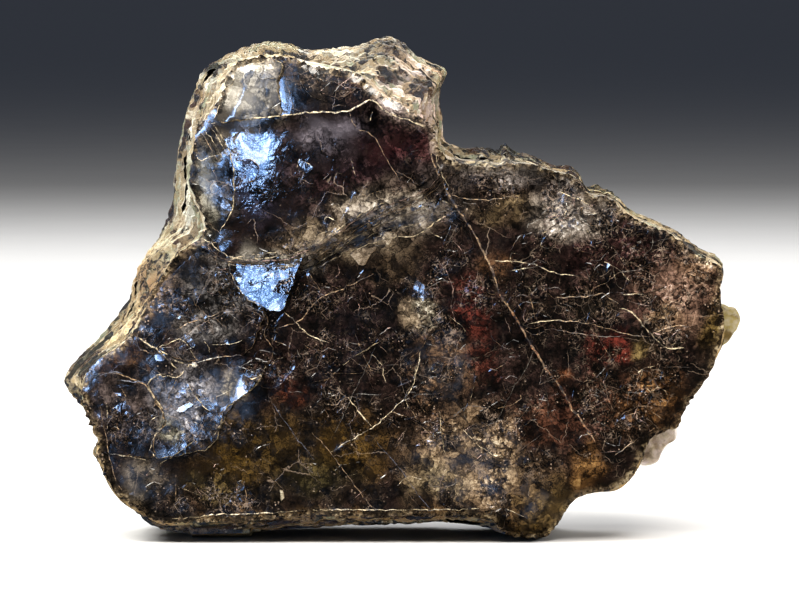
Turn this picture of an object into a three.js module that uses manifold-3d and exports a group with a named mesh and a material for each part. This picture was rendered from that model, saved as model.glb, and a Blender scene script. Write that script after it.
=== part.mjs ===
// A phlogopite mica specimen: one book of stacked sheets, standing on the two feet of its lower edge.
// Millimetres, +Z up, +X to the right, and the wide cleavage face looks along -Y.
import * as THREE from "three";
import { mergeVertices } from "three/addons/utils/BufferGeometryUtils.js";
import Module from "manifold-3d";

const wasm = await Module();
wasm.setup();

// Driving dimensions, in millimetres. A level is a height towards the viewer, from the widest sheet at 0.
const WIDTH = 90;
const BACK_LEVEL = -13;
const FACE_LEVEL = 7.6;
const LOBE_LEVEL = 11.2;
const FOOT_LEVELS = [-8, 4];
const SHEET_OVERLAP = 0.06;

// Outlines are in drawing units, x to the right and y down, with this many units to the width.
const UNITS_WIDE = 679;
const UNIT = WIDTH / UNITS_WIDE;
const MIDDLE_X = 400.5;
const BASE_Y = 538;

// The book's side, all the way round: rim x and y of the widest sheet, x and y where the front face
// begins, and the level of the front face there.
const LEFT_SIDE = [
  [62, 384, 92, 377, 7.0],
  [68, 368, 97, 363, 7.0],
  [81, 354, 110, 351, 7.1],
  [97, 337, 126, 341, 7.2],
  [112, 318, 140, 324, 7.3],
  [124, 297, 150, 304, 7.4],
  [130, 272, 160, 284, 7.4],
  [142, 250, 175, 263, 7.5],
  [157, 231, 192, 247, 7.5],
];
const LOBE_SIDE = [
  [165, 213, 206, 232, 7.6],
  [169, 194, 203, 210, 7.6],
  [173, 172, 193, 186, 7.7],
  [176, 152, 191, 162, 7.8],
  [181, 130, 197, 141, 7.9],
  [186, 110, 207, 123, 8.1],
  [193, 90, 218, 106, 8.4],
  [201, 70, 226, 88, 8.8],
  [219, 57, 235, 69, 9.2],
  [241, 45, 248, 60, 9.6],
  [262, 38, 268, 57, 9.9],
  [288, 38, 288, 59, 10.1],
  [306, 45, 304, 62, 10.2],
  [330, 44, 325, 66, 10.2],
  [360, 42, 346, 72, 10.3],
  [388, 35, 362, 80, 10.4],
  [407, 42, 373, 91, 10.5],
  [418, 53, 383, 99, 10.6],
  [431, 61, 394, 106, 10.7],
  [447, 71, 404, 112, 10.8],
  [441, 88, 414, 117, 10.9],
  [440, 104, 424, 123, 10.9],
  [443, 120, 432, 131, 10.9],
  [445, 139, 439, 150, 10.6],
];
const UPPER_RIGHT = [
  [462, 145, 452, 173, 8.4],
  [481, 144, 478, 178, 8.4],
  [498, 148, 494, 179, 8.4],
  [504, 139, 504, 178, 8.4],
  [512, 146, 512, 178, 8.4],
  [530, 151, 529, 177, 8.4],
  [550, 160, 550, 180, 8.3],
  [574, 166, 571, 186, 8.3],
  [589, 186, 583, 198, 8.2],
  [604, 183, 597, 206, 8.2],
  [618, 192, 610, 211, 8.0],
  [632, 208, 625, 219, 7.8],
  [656, 219, 650, 230, 7.6],
  [680, 231, 674, 243, 7.4],
  [701, 246, 692, 257, 7.2],
  [719, 254, 706, 265, 7.0],
];
const RIGHT_SIDE = [
  [725, 264, 713, 274, 6.8],
  [721, 284, 710, 290, 6.6],
  [722, 302, 711, 305, 6.4],
  [726, 318, 713, 318, 6.3],
  [727, 335, 712, 332, 6.2],
  [721, 352, 708, 347, 6.2],
  [711, 370, 699, 366, 6.2],
  [699, 389, 686, 385, 6.2],
  [688, 407, 675, 403, 6.1],
  [681, 424, 666, 417, 6.0],
  [663, 430, 652, 424, 5.9],
  [651, 437, 642, 431, 5.8],
  [646, 452, 636, 446, 5.7],
  [639, 470, 629, 462, 5.6],
  [628, 485, 620, 475, 5.5],
  [614, 492, 610, 482, 5.4],
  [596, 493, 594, 483, 5.4],
  [579, 498, 575, 488, 5.3],
];
const LUMP = [
  [569, 508, 561, 502, 5.2],
  [564, 521, 553, 513, 5.1],
  [555, 532, 545, 521, 5.0],
  [545, 538, 538, 526, 5.0],
  [521, 538, 519, 524, 5.2],
  [503, 535, 505, 517, 5.8],
];
const LOWER_EDGE = [
  [488, 530, 491, 509, 6.6],
  [470, 526, 469, 507, 7.0],
  [430, 525, 430, 507, 7.1],
  [380, 529, 380, 506, 7.1],
  [330, 533, 330, 506, 7.1],
  [290, 535, 288, 508, 7.1],
  [252, 538, 250, 510, 7.1],
  [190, 538, 192, 515, 7.1],
  [162, 534, 166, 516, 7.0],
  [140, 522, 148, 508, 6.9],
];
const LOWER_LEFT = [
  [121, 506, 131, 494, 6.8],
  [106, 491, 120, 480, 6.8],
  [98, 475, 112, 463, 6.8],
  [88, 452, 108, 447, 6.8],
  [94, 440, 106, 431, 6.8],
  [85, 422, 102, 414, 6.9],
  [73, 402, 96, 396, 6.9],
];
const LOBE_START = LEFT_SIDE.length;
const LOBE_END = LOBE_START + LOBE_SIDE.length;
const SIDE = [
  ...LEFT_SIDE,
  ...LOBE_SIDE,
  ...UPPER_RIGHT,
  ...RIGHT_SIDE,
  ...LUMP,
  ...LOWER_EDGE,
  ...LOWER_LEFT,
];

// The lobe's inner border, from its right end to its left: x and y at its foot, then x and y at its top.
const LOBE_BORDER = [
  [452, 178, 436, 160],
  [440, 194, 426, 174],
  [414, 208, 405, 187],
  [386, 220, 378, 199],
  [358, 234, 352, 215],
  [332, 250, 328, 229],
  [310, 262, 306, 243],
  [286, 262, 288, 250],
  [250, 262, 248, 254],
  [222, 258, 226, 248],
  [208, 246, 214, 238],
];

// Front levels of the packets of sheets, from the widest sheet outwards, and of those behind it.
const FRONT_LEVELS = [0, 1.4, 2.5, 4, 5, 6, 6.8, FACE_LEVEL];
const LOBE_LEVELS = [FACE_LEVEL, 8.5, 9.2, 9.9, 10.6, LOBE_LEVEL];
const BACK_LEVELS = [0, -1.8, -3.2, -5.4, -6.8, -8, -10, -11.4, BACK_LEVEL];

// How the side runs from the rim to the faces: a power for each, and the inset of a sheet above its face.
const FRONT_BULGE = 1.7;
const BACK_BULGE = 2.2;
const BACK_INSET = 0.8;
const INSET_UNITS_PER_LEVEL = 3;

// How far a packet's edge wanders, in drawing units, and the share of that kept inside the rim.
const RAGGED_UNITS = 1.9;
const WANDER_INWARD = 0.9;

// The first packet number of the front, the back and the lobe, so that each stack wanders its own way.
const FIRST_PACKET = { front: 1, back: 10, lobe: 20 };

// The planes that slope the lobe's left side and its crown, each three points of x, y and level.
const LOBE_PLANES = {
  left_facet: [[190, 160, 7.9], [236, 160, 9.6], [200, 240, 7.9]],
  fold: [[236, 160, 9.6], [290, 160, 11.1], [240, 240, 9.6]],
  crown: [[280, 115, 11.1], [400, 105, LOBE_LEVEL], [290, 58, 10]],
};

// Facets raised on the front face: an outline, and three points of its plane, each x, y and level.
// Each is rooted this deep under the face.
const FACET_ROOT = 0.8;
const FACETS = {
  glare_ramp: {
    outline: [[307, 246], [303, 257], [291, 290], [282, 306], [262, 301], [243, 288], [233, 266], [238, 254]],
    plane: [[305, 250, 9.3], [282, 306, 9.1], [236, 262, 7.9]],
  },
  shoulder: {
    outline: [[205, 248], [238, 258], [236, 272], [250, 292], [266, 304], [262, 322], [250, 346], [222, 352],
      [196, 356], [168, 350], [140, 340], [152, 306], [166, 280], [186, 260]],
    plane: [[262, 305, 8.5], [205, 250, 8.2], [140, 340, 7.5]],
  },
  silver_shards: {
    outline: [[200, 354], [226, 349], [250, 352], [268, 362], [252, 385], [236, 398], [226, 416], [214, 440],
      [196, 446], [160, 452], [154, 436], [168, 416], [160, 396], [152, 380], [162, 370], [180, 372]],
    plane: [[268, 362, 8.5], [214, 440, 8.2], [154, 436, 7.7]],
  },
  tip_sheet: {
    outline: [[98, 374], [118, 368], [140, 376], [152, 382], [160, 398], [168, 416], [156, 436], [158, 450],
      [130, 450], [110, 446], [108, 430], [103, 410]],
    plane: [[152, 382, 8.1], [158, 450, 8.0], [103, 410, 7.6]],
  },
  centre_block: {
    outline: [[428, 214], [444, 202], [462, 228], [474, 250], [490, 288], [508, 318], [530, 350], [556, 392],
      [580, 430], [556, 452], [520, 462], [470, 452], [440, 430], [404, 410], [372, 424], [340, 410],
      [310, 372], [286, 350], [276, 326], [288, 304], [306, 270], [334, 254], [362, 240], [392, 226]],
    plane: [[300, 300, 8.3], [460, 240, 8.5], [540, 450, 7.9]],
  },
  right_block: {
    outline: [[458, 186], [480, 182], [528, 181], [568, 190], [596, 210], [648, 234], [690, 262], [702, 290],
      [700, 330], [684, 356], [660, 382], [634, 396], [612, 412], [596, 430], [584, 424], [564, 388],
      [538, 348], [516, 314], [498, 280], [484, 248], [470, 218]],
    plane: [[470, 200, 8.9], [690, 262, 8.0], [596, 430, 8.0]],
  },
};

// Thin flakes that stand out past the rim at the right, each an outline and its two levels.
const FLAKES = {
  yellow_flake: {
    outline: [[700, 300], [722, 303], [729, 306], [736, 307], [740, 314], [739, 323], [735, 331], [727, 343],
      [712, 352], [700, 340]],
    levels: [0.9, 1.8],
  },
  clear_flake: {
    outline: [[632, 462], [641, 468], [653, 468], [660, 463], [664, 454], [670, 446], [679, 440], [677, 427],
      [660, 418], [640, 430], [626, 446]],
    levels: [-1.6, -0.8],
  },
};

// Where the outermost sheets are broken away from the back face: an outline, and the level left there.
const BACK_BREAKS = {
  right_break: {
    outline: [[640, 150], [628, 200], [600, 236], [612, 290], [590, 340], [566, 372], [560, 412], [512, 440],
      [486, 474], [446, 500], [430, 560], [620, 560], [770, 420], [770, 200]],
    level: -11.4,
  },
  lobe_break: {
    outline: [[120, 236], [176, 232], [214, 208], [262, 214], [296, 184], [338, 150], [392, 132], [410, 92],
      [470, 66], [470, 0], [140, 0]],
    level: -12.2,
  },
  foot_break: {
    outline: [[40, 400], [104, 404], [132, 436], [190, 452], [226, 486], [300, 496], [316, 560], [40, 560]],
    level: -12.2,
  },
};
const CLEAR = 1;

// The long fissure down the front face, as points of its centre line, with its widest half width and depth.
const FISSURE = [
  [438, 170], [447, 190], [458, 210], [470, 230], [478, 244], [488, 268], [497, 288], [509, 310], [521, 330],
  [534, 350], [552, 376], [568, 402], [580, 421], [588, 433],
];
const FISSURE_HALF_WIDTH = 2.2;
const FISSURE_DEPTH = 0.9;

const placeX = (x) => (x - MIDDLE_X) * UNIT;
const placeZ = (y) => (BASE_Y - y) * UNIT;

// A small repeatable wander for point i of packet k, from -1 to 1.
function wander(i, k) {
  return 0.6 * Math.sin(1.7 * i + 2.9 * k) + 0.4 * Math.sin(3.1 * i - 1.3 * k + k * k);
}

// The share of the way from the front face's edge, at 0, to the rim, at 1, on the side at a level.
function shareOut(level, faceLevel, reach) {
  if (level < 0) return 1 - BACK_INSET * (level / BACK_LEVEL) ** BACK_BULGE;
  if (level <= faceLevel) return 1 - (level / faceLevel) ** FRONT_BULGE;
  return (-(level - faceLevel) * INSET_UNITS_PER_LEVEL) / reach;
}

// One point of the side at a level, moved in or out by the packet's wander. The feet stay flat.
function sidePoint(i, level, packet) {
  const [rimX, rimY, faceX, faceY, faceLevel] = SIDE[i];
  const onFoot = rimY === BASE_Y && level >= FOOT_LEVELS[0] && level <= FOOT_LEVELS[1];
  if (onFoot) return [rimX, rimY];
  const reach = Math.hypot(rimX - faceX, rimY - faceY);
  const share = shareOut(level, faceLevel, reach) + (RAGGED_UNITS / reach) * (wander(i, packet) - WANDER_INWARD);
  return [faceX + (rimX - faceX) * Math.min(share, 1), faceY + (rimY - faceY) * Math.min(share, 1)];
}

function sideOutline(level, packet) {
  return SIDE.map((_, i) => sidePoint(i, level, packet));
}

// The lobe at a level: the outer side from the lobe's start to its end, then back along its inner border.
function lobeOutline(level, packet) {
  const outer = SIDE.slice(LOBE_START, LOBE_END).map((_, i) => sidePoint(LOBE_START + i, level, packet));
  const share = (level - FACE_LEVEL) / (LOBE_LEVEL - FACE_LEVEL);
  const inner = LOBE_BORDER.map(([footX, footY, topX, topY], i) => [
    footX + (topX - footX) * share + wander(i, packet),
    footY + (topY - footY) * share + wander(-i, packet),
  ]);
  return [...outer, ...inner];
}

function toSolid(geometry) {
  geometry.deleteAttribute("normal");
  geometry.deleteAttribute("uv");
  const merged = mergeVertices(geometry, 1e-4);
  return new wasm.Manifold(
    new wasm.Mesh({
      numProp: 3,
      vertProperties: new Float32Array(merged.attributes.position.array),
      triVerts: new Uint32Array(merged.index.array),
    }),
  );
}

// A flat sheet of an outline between two levels.
function sheet(outline, low, high) {
  const shape = new THREE.Shape(outline.map(([x, y]) => new THREE.Vector2(placeX(x), placeZ(y))));
  const geometry = new THREE.ExtrudeGeometry(shape, { depth: high - low, bevelEnabled: false });
  geometry.translate(0, 0, low);
  geometry.rotateX(Math.PI / 2);
  return toSolid(geometry);
}

// Cuts away what stands in front of the plane through three points, each x, y and level.
function trimTo(solid, points) {
  const [a, b, c] = points.map(([x, y, level]) => new THREE.Vector3(placeX(x), -level, placeZ(y)));
  const normal = b.sub(a).cross(c.sub(a)).normalize();
  if (normal.y < 0) normal.negate();
  return solid.trimByPlane([normal.x, normal.y, normal.z], normal.dot(a));
}

// The packets between neighbouring levels, each outlined at the level that it ends on.
function packets(levels, outlineAt, step) {
  return levels.slice(1).map((level, k) => {
    const [low, high] = [Math.min(level, levels[k]), Math.max(level, levels[k])];
    const packet = k + step;
    const middle = (level + levels[k]) / 2;
    return sheet(outlineAt(middle, packet), low - SHEET_OVERLAP, high + (high === 0 ? SHEET_OVERLAP : 0));
  });
}

function lobe() {
  const blocks = wasm.Manifold.union(packets(LOBE_LEVELS, lobeOutline, FIRST_PACKET.lobe));
  return Object.values(LOBE_PLANES).reduce(trimTo, blocks);
}

function facet({ outline, plane }) {
  return trimTo(sheet(outline, FACE_LEVEL - FACET_ROOT, LOBE_LEVEL), plane);
}

function backBreak({ outline, level }) {
  return sheet(outline, BACK_LEVEL - CLEAR, level);
}

// A narrow wedge of an outline along the fissure, wide in its middle and pointed at both ends.
function fissure() {
  const last = FISSURE.length - 1;
  const edge = (sign) =>
    FISSURE.map(([x, y], i) => {
      const [fromX, fromY] = FISSURE[Math.max(i - 1, 0)];
      const [toX, toY] = FISSURE[Math.min(i + 1, last)];
      const length = Math.hypot(toX - fromX, toY - fromY);
      const half = sign * FISSURE_HALF_WIDTH * Math.sin((Math.PI * (i + 0.5)) / (last + 1));
      return [x + (half * (toY - fromY)) / length, y - (half * (toX - fromX)) / length];
    });
  const outline = [...edge(1), ...edge(-1).reverse()];
  return sheet(outline, FACE_LEVEL - FISSURE_DEPTH, LOBE_LEVEL + CLEAR);
}

function book() {
  const stack = [
    ...packets(FRONT_LEVELS, sideOutline, FIRST_PACKET.front),
    ...packets(BACK_LEVELS, sideOutline, FIRST_PACKET.back),
    ...Object.values(FACETS).map(facet),
    ...Object.values(FLAKES).map(({ outline, levels }) => sheet(outline, ...levels)),
    lobe(),
  ];
  const hollows = [fissure(), ...Object.values(BACK_BREAKS).map(backBreak)];
  return wasm.Manifold.union(stack).subtract(wasm.Manifold.union(hollows));
}

// A solid's mesh as a flat-shaded geometry, centred on its feet: x and y in the middle, z at the base.
function toGeometry(solid) {
  const { vertProperties, triVerts } = solid.getMesh();
  const geometry = new THREE.BufferGeometry()
    .setAttribute("position", new THREE.BufferAttribute(vertProperties, 3))
    .setIndex(new THREE.BufferAttribute(triVerts, 1));
  geometry.computeBoundingBox();
  const { min, max } = geometry.boundingBox;
  geometry.translate(-(min.x + max.x) / 2, -(min.y + max.y) / 2, -min.z);
  return geometry.toNonIndexed();
}

const geometry = toGeometry(book());
geometry.computeVertexNormals();
const micaBook = new THREE.Mesh(
  geometry,
  new THREE.MeshStandardMaterial({ color: 0x2e211a, roughness: 0.25, metalness: 0, flatShading: true }),
);
micaBook.name = "mica_book";

const specimen = new THREE.Group();
specimen.add(micaBook);

export default specimen;
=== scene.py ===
# The looks of a phlogopite mica book: many thin sheets, a cracked glossy cleavage face and frayed edges.
import math
import bpy
import numpy as np
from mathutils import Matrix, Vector, noise
from mathutils.geometry import delaunay_2d_cdt


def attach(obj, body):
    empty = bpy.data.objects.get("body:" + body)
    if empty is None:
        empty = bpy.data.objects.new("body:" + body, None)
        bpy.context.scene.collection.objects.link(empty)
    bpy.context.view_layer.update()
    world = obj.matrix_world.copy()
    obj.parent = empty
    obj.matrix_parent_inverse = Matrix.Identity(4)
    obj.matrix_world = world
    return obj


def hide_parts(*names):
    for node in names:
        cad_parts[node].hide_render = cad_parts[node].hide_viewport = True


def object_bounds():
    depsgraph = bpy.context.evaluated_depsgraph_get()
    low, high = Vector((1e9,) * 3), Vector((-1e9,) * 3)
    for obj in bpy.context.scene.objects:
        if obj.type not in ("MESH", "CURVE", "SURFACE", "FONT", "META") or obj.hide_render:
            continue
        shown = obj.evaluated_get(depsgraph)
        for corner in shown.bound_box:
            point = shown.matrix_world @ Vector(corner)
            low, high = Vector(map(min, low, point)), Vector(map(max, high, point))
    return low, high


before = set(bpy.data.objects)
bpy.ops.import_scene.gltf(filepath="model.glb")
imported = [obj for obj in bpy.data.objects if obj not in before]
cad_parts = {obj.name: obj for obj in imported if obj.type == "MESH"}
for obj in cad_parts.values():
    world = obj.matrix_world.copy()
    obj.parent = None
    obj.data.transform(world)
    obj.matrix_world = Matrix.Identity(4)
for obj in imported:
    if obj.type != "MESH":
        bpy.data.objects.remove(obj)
CAD_LOW, CAD_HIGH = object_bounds()
rng = np.random.default_rng(20)

# Outlines are in drawing units, x to the right and y down, 679 of them to the specimen's 90 mm. A level is
# a height in millimetres towards the viewer, from the widest sheet at 0.
MM = 0.001
WIDTH = 90 * MM
UNIT = WIDTH / 679
MIDDLE_X = 400.5
BASE_Y = 538
RIGHT_X = 740
DEEPEST_LEVEL = -13.06
ORIGIN = Vector((CAD_HIGH.x - (RIGHT_X - MIDDLE_X) * UNIT, CAD_HIGH.y + DEEPEST_LEVEL * MM, 0))

BACK_LEVEL = -13
FACE_LEVEL = 7.6
LOBE_LEVEL = 11.2
FOOT_LEVELS = (-8, 4)
FRONT_BULGE = 1.7
BACK_BULGE = 2.2
BACK_INSET = 0.8

# The book's side, all the way round: rim x and y of the widest sheet, x and y where the front face
# begins, and the level of the front face there.
SIDE = {
    "left": [
        (62, 384, 92, 377, 7.4), (68, 368, 97, 363, 7.4), (81, 354, 110, 351, 7.5), (97, 337, 126, 341, 7.6),
        (112, 318, 140, 324, 7.7), (124, 297, 150, 304, 7.8), (130, 272, 160, 284, 7.8),
        (142, 250, 175, 263, 7.8), (157, 231, 192, 247, 7.7),
    ],
    "flank": [
        (165, 213, 206, 232, 7.6), (169, 194, 203, 210, 7.6), (173, 172, 193, 186, 7.7),
        (176, 152, 191, 162, 7.8), (181, 130, 197, 141, 7.9), (186, 110, 207, 123, 8.1),
        (193, 90, 218, 106, 8.4), (201, 70, 226, 88, 8.8),
    ],
    "crown": [
        (219, 57, 235, 69, 9.2), (241, 45, 248, 60, 9.6), (262, 38, 268, 57, 9.9), (288, 38, 288, 59, 10.1),
        (306, 45, 304, 62, 10.2), (330, 44, 325, 66, 10.2), (360, 42, 346, 72, 10.3),
        (388, 35, 362, 80, 10.4),
    ],
    "lobe_end": [
        (407, 42, 373, 91, 10.5), (418, 53, 383, 99, 10.6), (431, 61, 394, 106, 10.7),
        (447, 71, 404, 112, 10.8), (441, 88, 414, 117, 10.9), (440, 104, 424, 123, 10.9),
        (443, 120, 432, 131, 10.9), (445, 139, 439, 150, 10.6),
    ],
    "upper_right": [
        (462, 145, 452, 173, 8.4), (481, 144, 478, 178, 8.4), (498, 148, 494, 179, 8.4),
        (504, 139, 504, 178, 8.4), (512, 146, 512, 178, 8.4), (530, 151, 529, 177, 8.4),
        (550, 160, 550, 180, 8.3), (574, 166, 571, 186, 8.3), (589, 186, 583, 198, 8.2),
        (604, 183, 597, 206, 8.2), (618, 192, 610, 211, 8.0), (632, 208, 625, 219, 7.8),
        (656, 219, 650, 230, 7.6), (680, 231, 674, 243, 7.4), (701, 246, 692, 257, 7.2),
        (719, 254, 706, 265, 7.0),
    ],
    "right": [
        (725, 264, 713, 274, 6.8), (721, 284, 710, 290, 6.6), (722, 302, 711, 305, 6.4),
        (726, 318, 713, 318, 6.3), (727, 335, 712, 332, 6.2), (721, 352, 708, 347, 6.2),
        (711, 370, 699, 366, 6.2), (699, 389, 686, 385, 6.2), (688, 407, 675, 403, 6.1),
        (681, 424, 666, 417, 6.0), (663, 430, 652, 424, 5.9), (651, 437, 642, 431, 5.8),
        (646, 452, 636, 446, 5.7), (639, 470, 629, 462, 5.6), (628, 485, 620, 475, 5.5),
        (614, 492, 610, 482, 5.4), (596, 493, 594, 483, 5.4), (579, 498, 575, 488, 5.3),
    ],
    "lump": [
        (569, 508, 561, 502, 5.2), (564, 521, 553, 513, 5.1), (555, 532, 545, 521, 5.0),
        (545, 538, 538, 526, 5.0), (521, 538, 519, 524, 5.2), (503, 535, 505, 517, 5.8),
    ],
    "lower": [
        (488, 530, 491, 509, 6.6), (470, 526, 469, 507, 7.0), (430, 525, 430, 507, 7.1),
        (380, 529, 380, 506, 7.1), (330, 533, 330, 506, 7.1), (290, 535, 288, 508, 7.1),
        (252, 538, 250, 510, 7.1), (190, 538, 192, 515, 7.1), (162, 534, 166, 516, 7.0),
        (140, 522, 148, 508, 6.9),
    ],
    "lower_left": [
        (121, 506, 131, 494, 6.8), (106, 491, 120, 480, 6.8), (98, 475, 112, 463, 6.8),
        (88, 452, 108, 447, 6.8), (94, 440, 106, 431, 6.8), (85, 422, 102, 414, 6.9),
        (73, 402, 96, 396, 6.9),
    ],
}

# Each stretch of the side: the colour of its sheet edges, how much of them is pale and frayed, from 0 to 1,
# how ragged they are, and the share of the band above that they keep, the rest being face.
SIDE_LOOKS = {
    "left": ((232, 216, 178), 0.74, 1.2, 0.9),
    # The flank's near-white edges are partly pale frayed sheets and partly painted highlight where the flank
    # faces the light from the upper left.
    "flank": ((252, 252, 238), 1.0, 1.4, 1.0),
    "crown": ((242, 236, 214), 0.9, 1.4, 0.9),
    "lobe_end": ((246, 230, 220), 0.9, 1.4, 0.9),
    "upper_right": ((206, 194, 166), 0.6, 1.8, 0.45),
    "right": ((206, 174, 118), 0.62, 2.0, 0.45),
    "lump": ((150, 118, 66), 0.45, 1.8, 0.45),
    "lower": ((176, 142, 92), 0.62, 1.0, 0.8),
    "lower_left": ((198, 172, 124), 0.62, 2.0, 0.55),
}

# Spots of the side with a look of their own: x, y, radius across, radius down, colour, paleness, strength.
SIDE_SPOTS = [
    (215, 70, 13, 7, (58, 48, 32), 0.1, 0.9), (173, 207, 5, 22, (40, 34, 22), 0.05, 0.9),
    (203, 99, 7, 16, (152, 112, 70), 0.5, 0.8), (167, 248, 12, 20, (236, 240, 214), 0.9, 0.8),
    (208, 120, 10, 6, (236, 236, 240), 0.9, 0.8), (188, 150, 6, 26, (70, 58, 36), 0.3, 0.6),
    (280, 50, 22, 12, (212, 206, 166), 0.75, 0.8), (306, 54, 8, 8, (200, 208, 230), 0.6, 0.6),
    (390, 48, 34, 11, (58, 52, 38), 0.15, 0.85), (438, 73, 11, 11, (196, 144, 104), 0.6, 0.9),
    (424, 112, 22, 26, (222, 196, 192), 0.8, 0.6), (390, 78, 15, 9, (60, 48, 50), 0.1, 0.9),
    (421, 85, 13, 13, (78, 46, 50), 0.15, 0.85), (152, 280, 22, 24, (150, 104, 58), 0.4, 0.8),
    (100, 334, 26, 18, (214, 200, 160), 0.7, 0.7), (66, 380, 8, 12, (220, 206, 166), 0.7, 0.6),
    (92, 440, 8, 10, (204, 184, 140), 0.6, 0.7), (94, 362, 26, 16, (70, 46, 28), 0.1, 1.0),
    (64, 383, 6, 12, (220, 206, 166), 0.8, 0.8),
    (240, 537, 110, 4, (206, 196, 166), 0.85, 0.8), (400, 527, 90, 4, (190, 176, 140), 0.8, 0.7),
    (702, 250, 14, 8, (214, 180, 140), 0.6, 0.6), (520, 150, 40, 8, (70, 74, 70), 0.35, 0.6),
    (600, 190, 20, 8, (150, 140, 90), 0.5, 0.6),
]
SIDE_SPOT_POWER = 1.5

# The lobe's inner border, from its right end to its left: x and y at its foot, then x and y at its top.
LOBE_BORDER = [
    (452, 178, 436, 160), (440, 194, 426, 174), (414, 208, 405, 187), (386, 220, 378, 199),
    (358, 234, 352, 215), (332, 250, 328, 229), (310, 262, 306, 243), (286, 262, 288, 250),
    (250, 262, 248, 254), (222, 258, 226, 248), (208, 246, 214, 238), (196, 242, 200, 234),
]
LOBE_SURROUND = [(150, 250), (110, 150), (150, 10), (480, 10), (470, 140)]
LOBE_TERRACES = (0.0, 0.17, 0.32, 0.5, 0.7, 0.9)
TERRACE_DRIFT = 0.05

# The planes of the lobe's slopes and of the facets that mirror the window, each three points of x, y and
# level, and the levels over which one plane eases into the next.
LOBE_PLANES = [
    [(190, 160, 7.9), (236, 160, 9.6), (200, 240, 7.9)],
    [(236, 160, 9.6), (290, 160, 11.1), (240, 240, 9.6)],
    [(280, 115, 11.1), (400, 105, LOBE_LEVEL), (290, 58, 10)],
    [(240, 208, 9.71), (276, 180, 10.71), (270, 240, 9.7)],
    [(284, 118, 10.93), (271, 185, 10.57), (330, 150, 11.1)],
    [(236, 168, 9.6), (270, 146, 10.54), (230, 120, 8.9)],
]
LOBE_SOFTNESS = 0.2

# Plates raised on the front face: three points of the plane, each x, y and level, then an outline.
PLATES = {
    "glare_ramp": ([(305, 250, 9.6), (282, 306, 9.4), (236, 262, 8.2)],
        [(307, 246), (303, 257), (291, 290), (282, 306), (262, 301), (243, 288), (233, 266), (238, 254)]),
    "shoulder": ([(262, 305, 8.5), (205, 250, 8.2), (140, 340, 7.5)],
        [(205, 248), (238, 258), (236, 272), (250, 292), (266, 304), (262, 322), (250, 346), (222, 352),
         (196, 356), (168, 350), (140, 340), (152, 306), (166, 280), (186, 260)]),
    "silver_shards": ([(268, 362, 8.5), (214, 440, 8.2), (154, 436, 7.7)],
        [(200, 354), (226, 349), (250, 352), (268, 362), (252, 385), (236, 398), (226, 416), (214, 440),
         (196, 446), (160, 452), (154, 436), (168, 416), (160, 396), (152, 380), (162, 370), (180, 372)]),
    "tip_sheet": ([(152, 382, 8.1), (158, 450, 8.0), (103, 410, 7.6)],
        [(98, 374), (118, 368), (140, 376), (152, 382), (160, 398), (168, 416), (156, 436), (158, 450),
         (130, 450), (110, 446), (108, 430), (103, 410)]),
    "centre_block": ([(300, 300, 8.3), (460, 240, 8.5), (540, 450, 7.9)],
        [(428, 214), (445, 190), (463, 208), (481, 238), (490, 254), (501, 286), (521, 317), (538, 347),
         (563, 382), (586, 420), (592, 436), (556, 452), (520, 462), (470, 452), (440, 430), (404, 410),
         (372, 424), (340, 410), (310, 372), (286, 350), (276, 326), (288, 304), (306, 270), (334, 254),
         (362, 240), (392, 226)]),
    "right_block": ([(470, 200, 8.9), (690, 262, 8.0), (596, 430, 8.0)],
        [(446, 190), (458, 184), (480, 182), (528, 181), (568, 190), (596, 210), (648, 234), (690, 262),
         (702, 290), (700, 330), (684, 356), (660, 382), (634, 396), (612, 412), (588, 436), (575, 418),
         (555, 385), (530, 349), (513, 319), (493, 287), (482, 257), (466, 228), (452, 205)]),
    "window_sheet": ([(222, 90, 10.4), (286, 90, 11.05), (250, 118, 10.55)],
        [(236, 74), (250, 64), (284, 62), (280, 84), (284, 112), (262, 116), (238, 118), (222, 119),
         (224, 98)]),
}
PLATE_TONES = {"glare_ramp": "cream", "shoulder": "tan", "silver_shards": "cream", "tip_sheet": "tan",
               "window_sheet": "cream"}

# Where the outermost sheets are broken away from the back: the level left there, then an outline.
BACK_BREAKS = {
    "right_break": (-11.4, [(640, 150), (628, 200), (600, 236), (612, 290), (590, 340), (566, 372),
        (560, 412), (512, 440), (486, 474), (446, 500), (430, 560), (620, 560), (770, 420), (770, 200)]),
    "lobe_break": (-12.2, [(120, 236), (176, 232), (214, 208), (262, 214), (296, 184), (338, 150),
        (392, 132), (410, 92), (470, 66), (470, 0), (140, 0)]),
    "foot_break": (-12.2, [(40, 400), (104, 404), (132, 436), (190, 452), (226, 486), (300, 496),
        (316, 560), (40, 560)]),
}

# The long fissure down the front face, with its half width and depth.
FISSURE = [
    (430, 148), (433, 160), (440, 176), (449, 194), (460, 211), (471, 227), (478, 240), (486, 256),
    (492, 270), (497, 287), (506, 301), (517, 318), (526, 335), (534, 348), (545, 365), (559, 383),
    (568, 400), (578, 414), (588, 429), (593, 437),
]
FISSURE_HALF_WIDTH = 0.8
FISSURE_DEPTH = 0.1
RUSTY_FROM = 9
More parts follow.
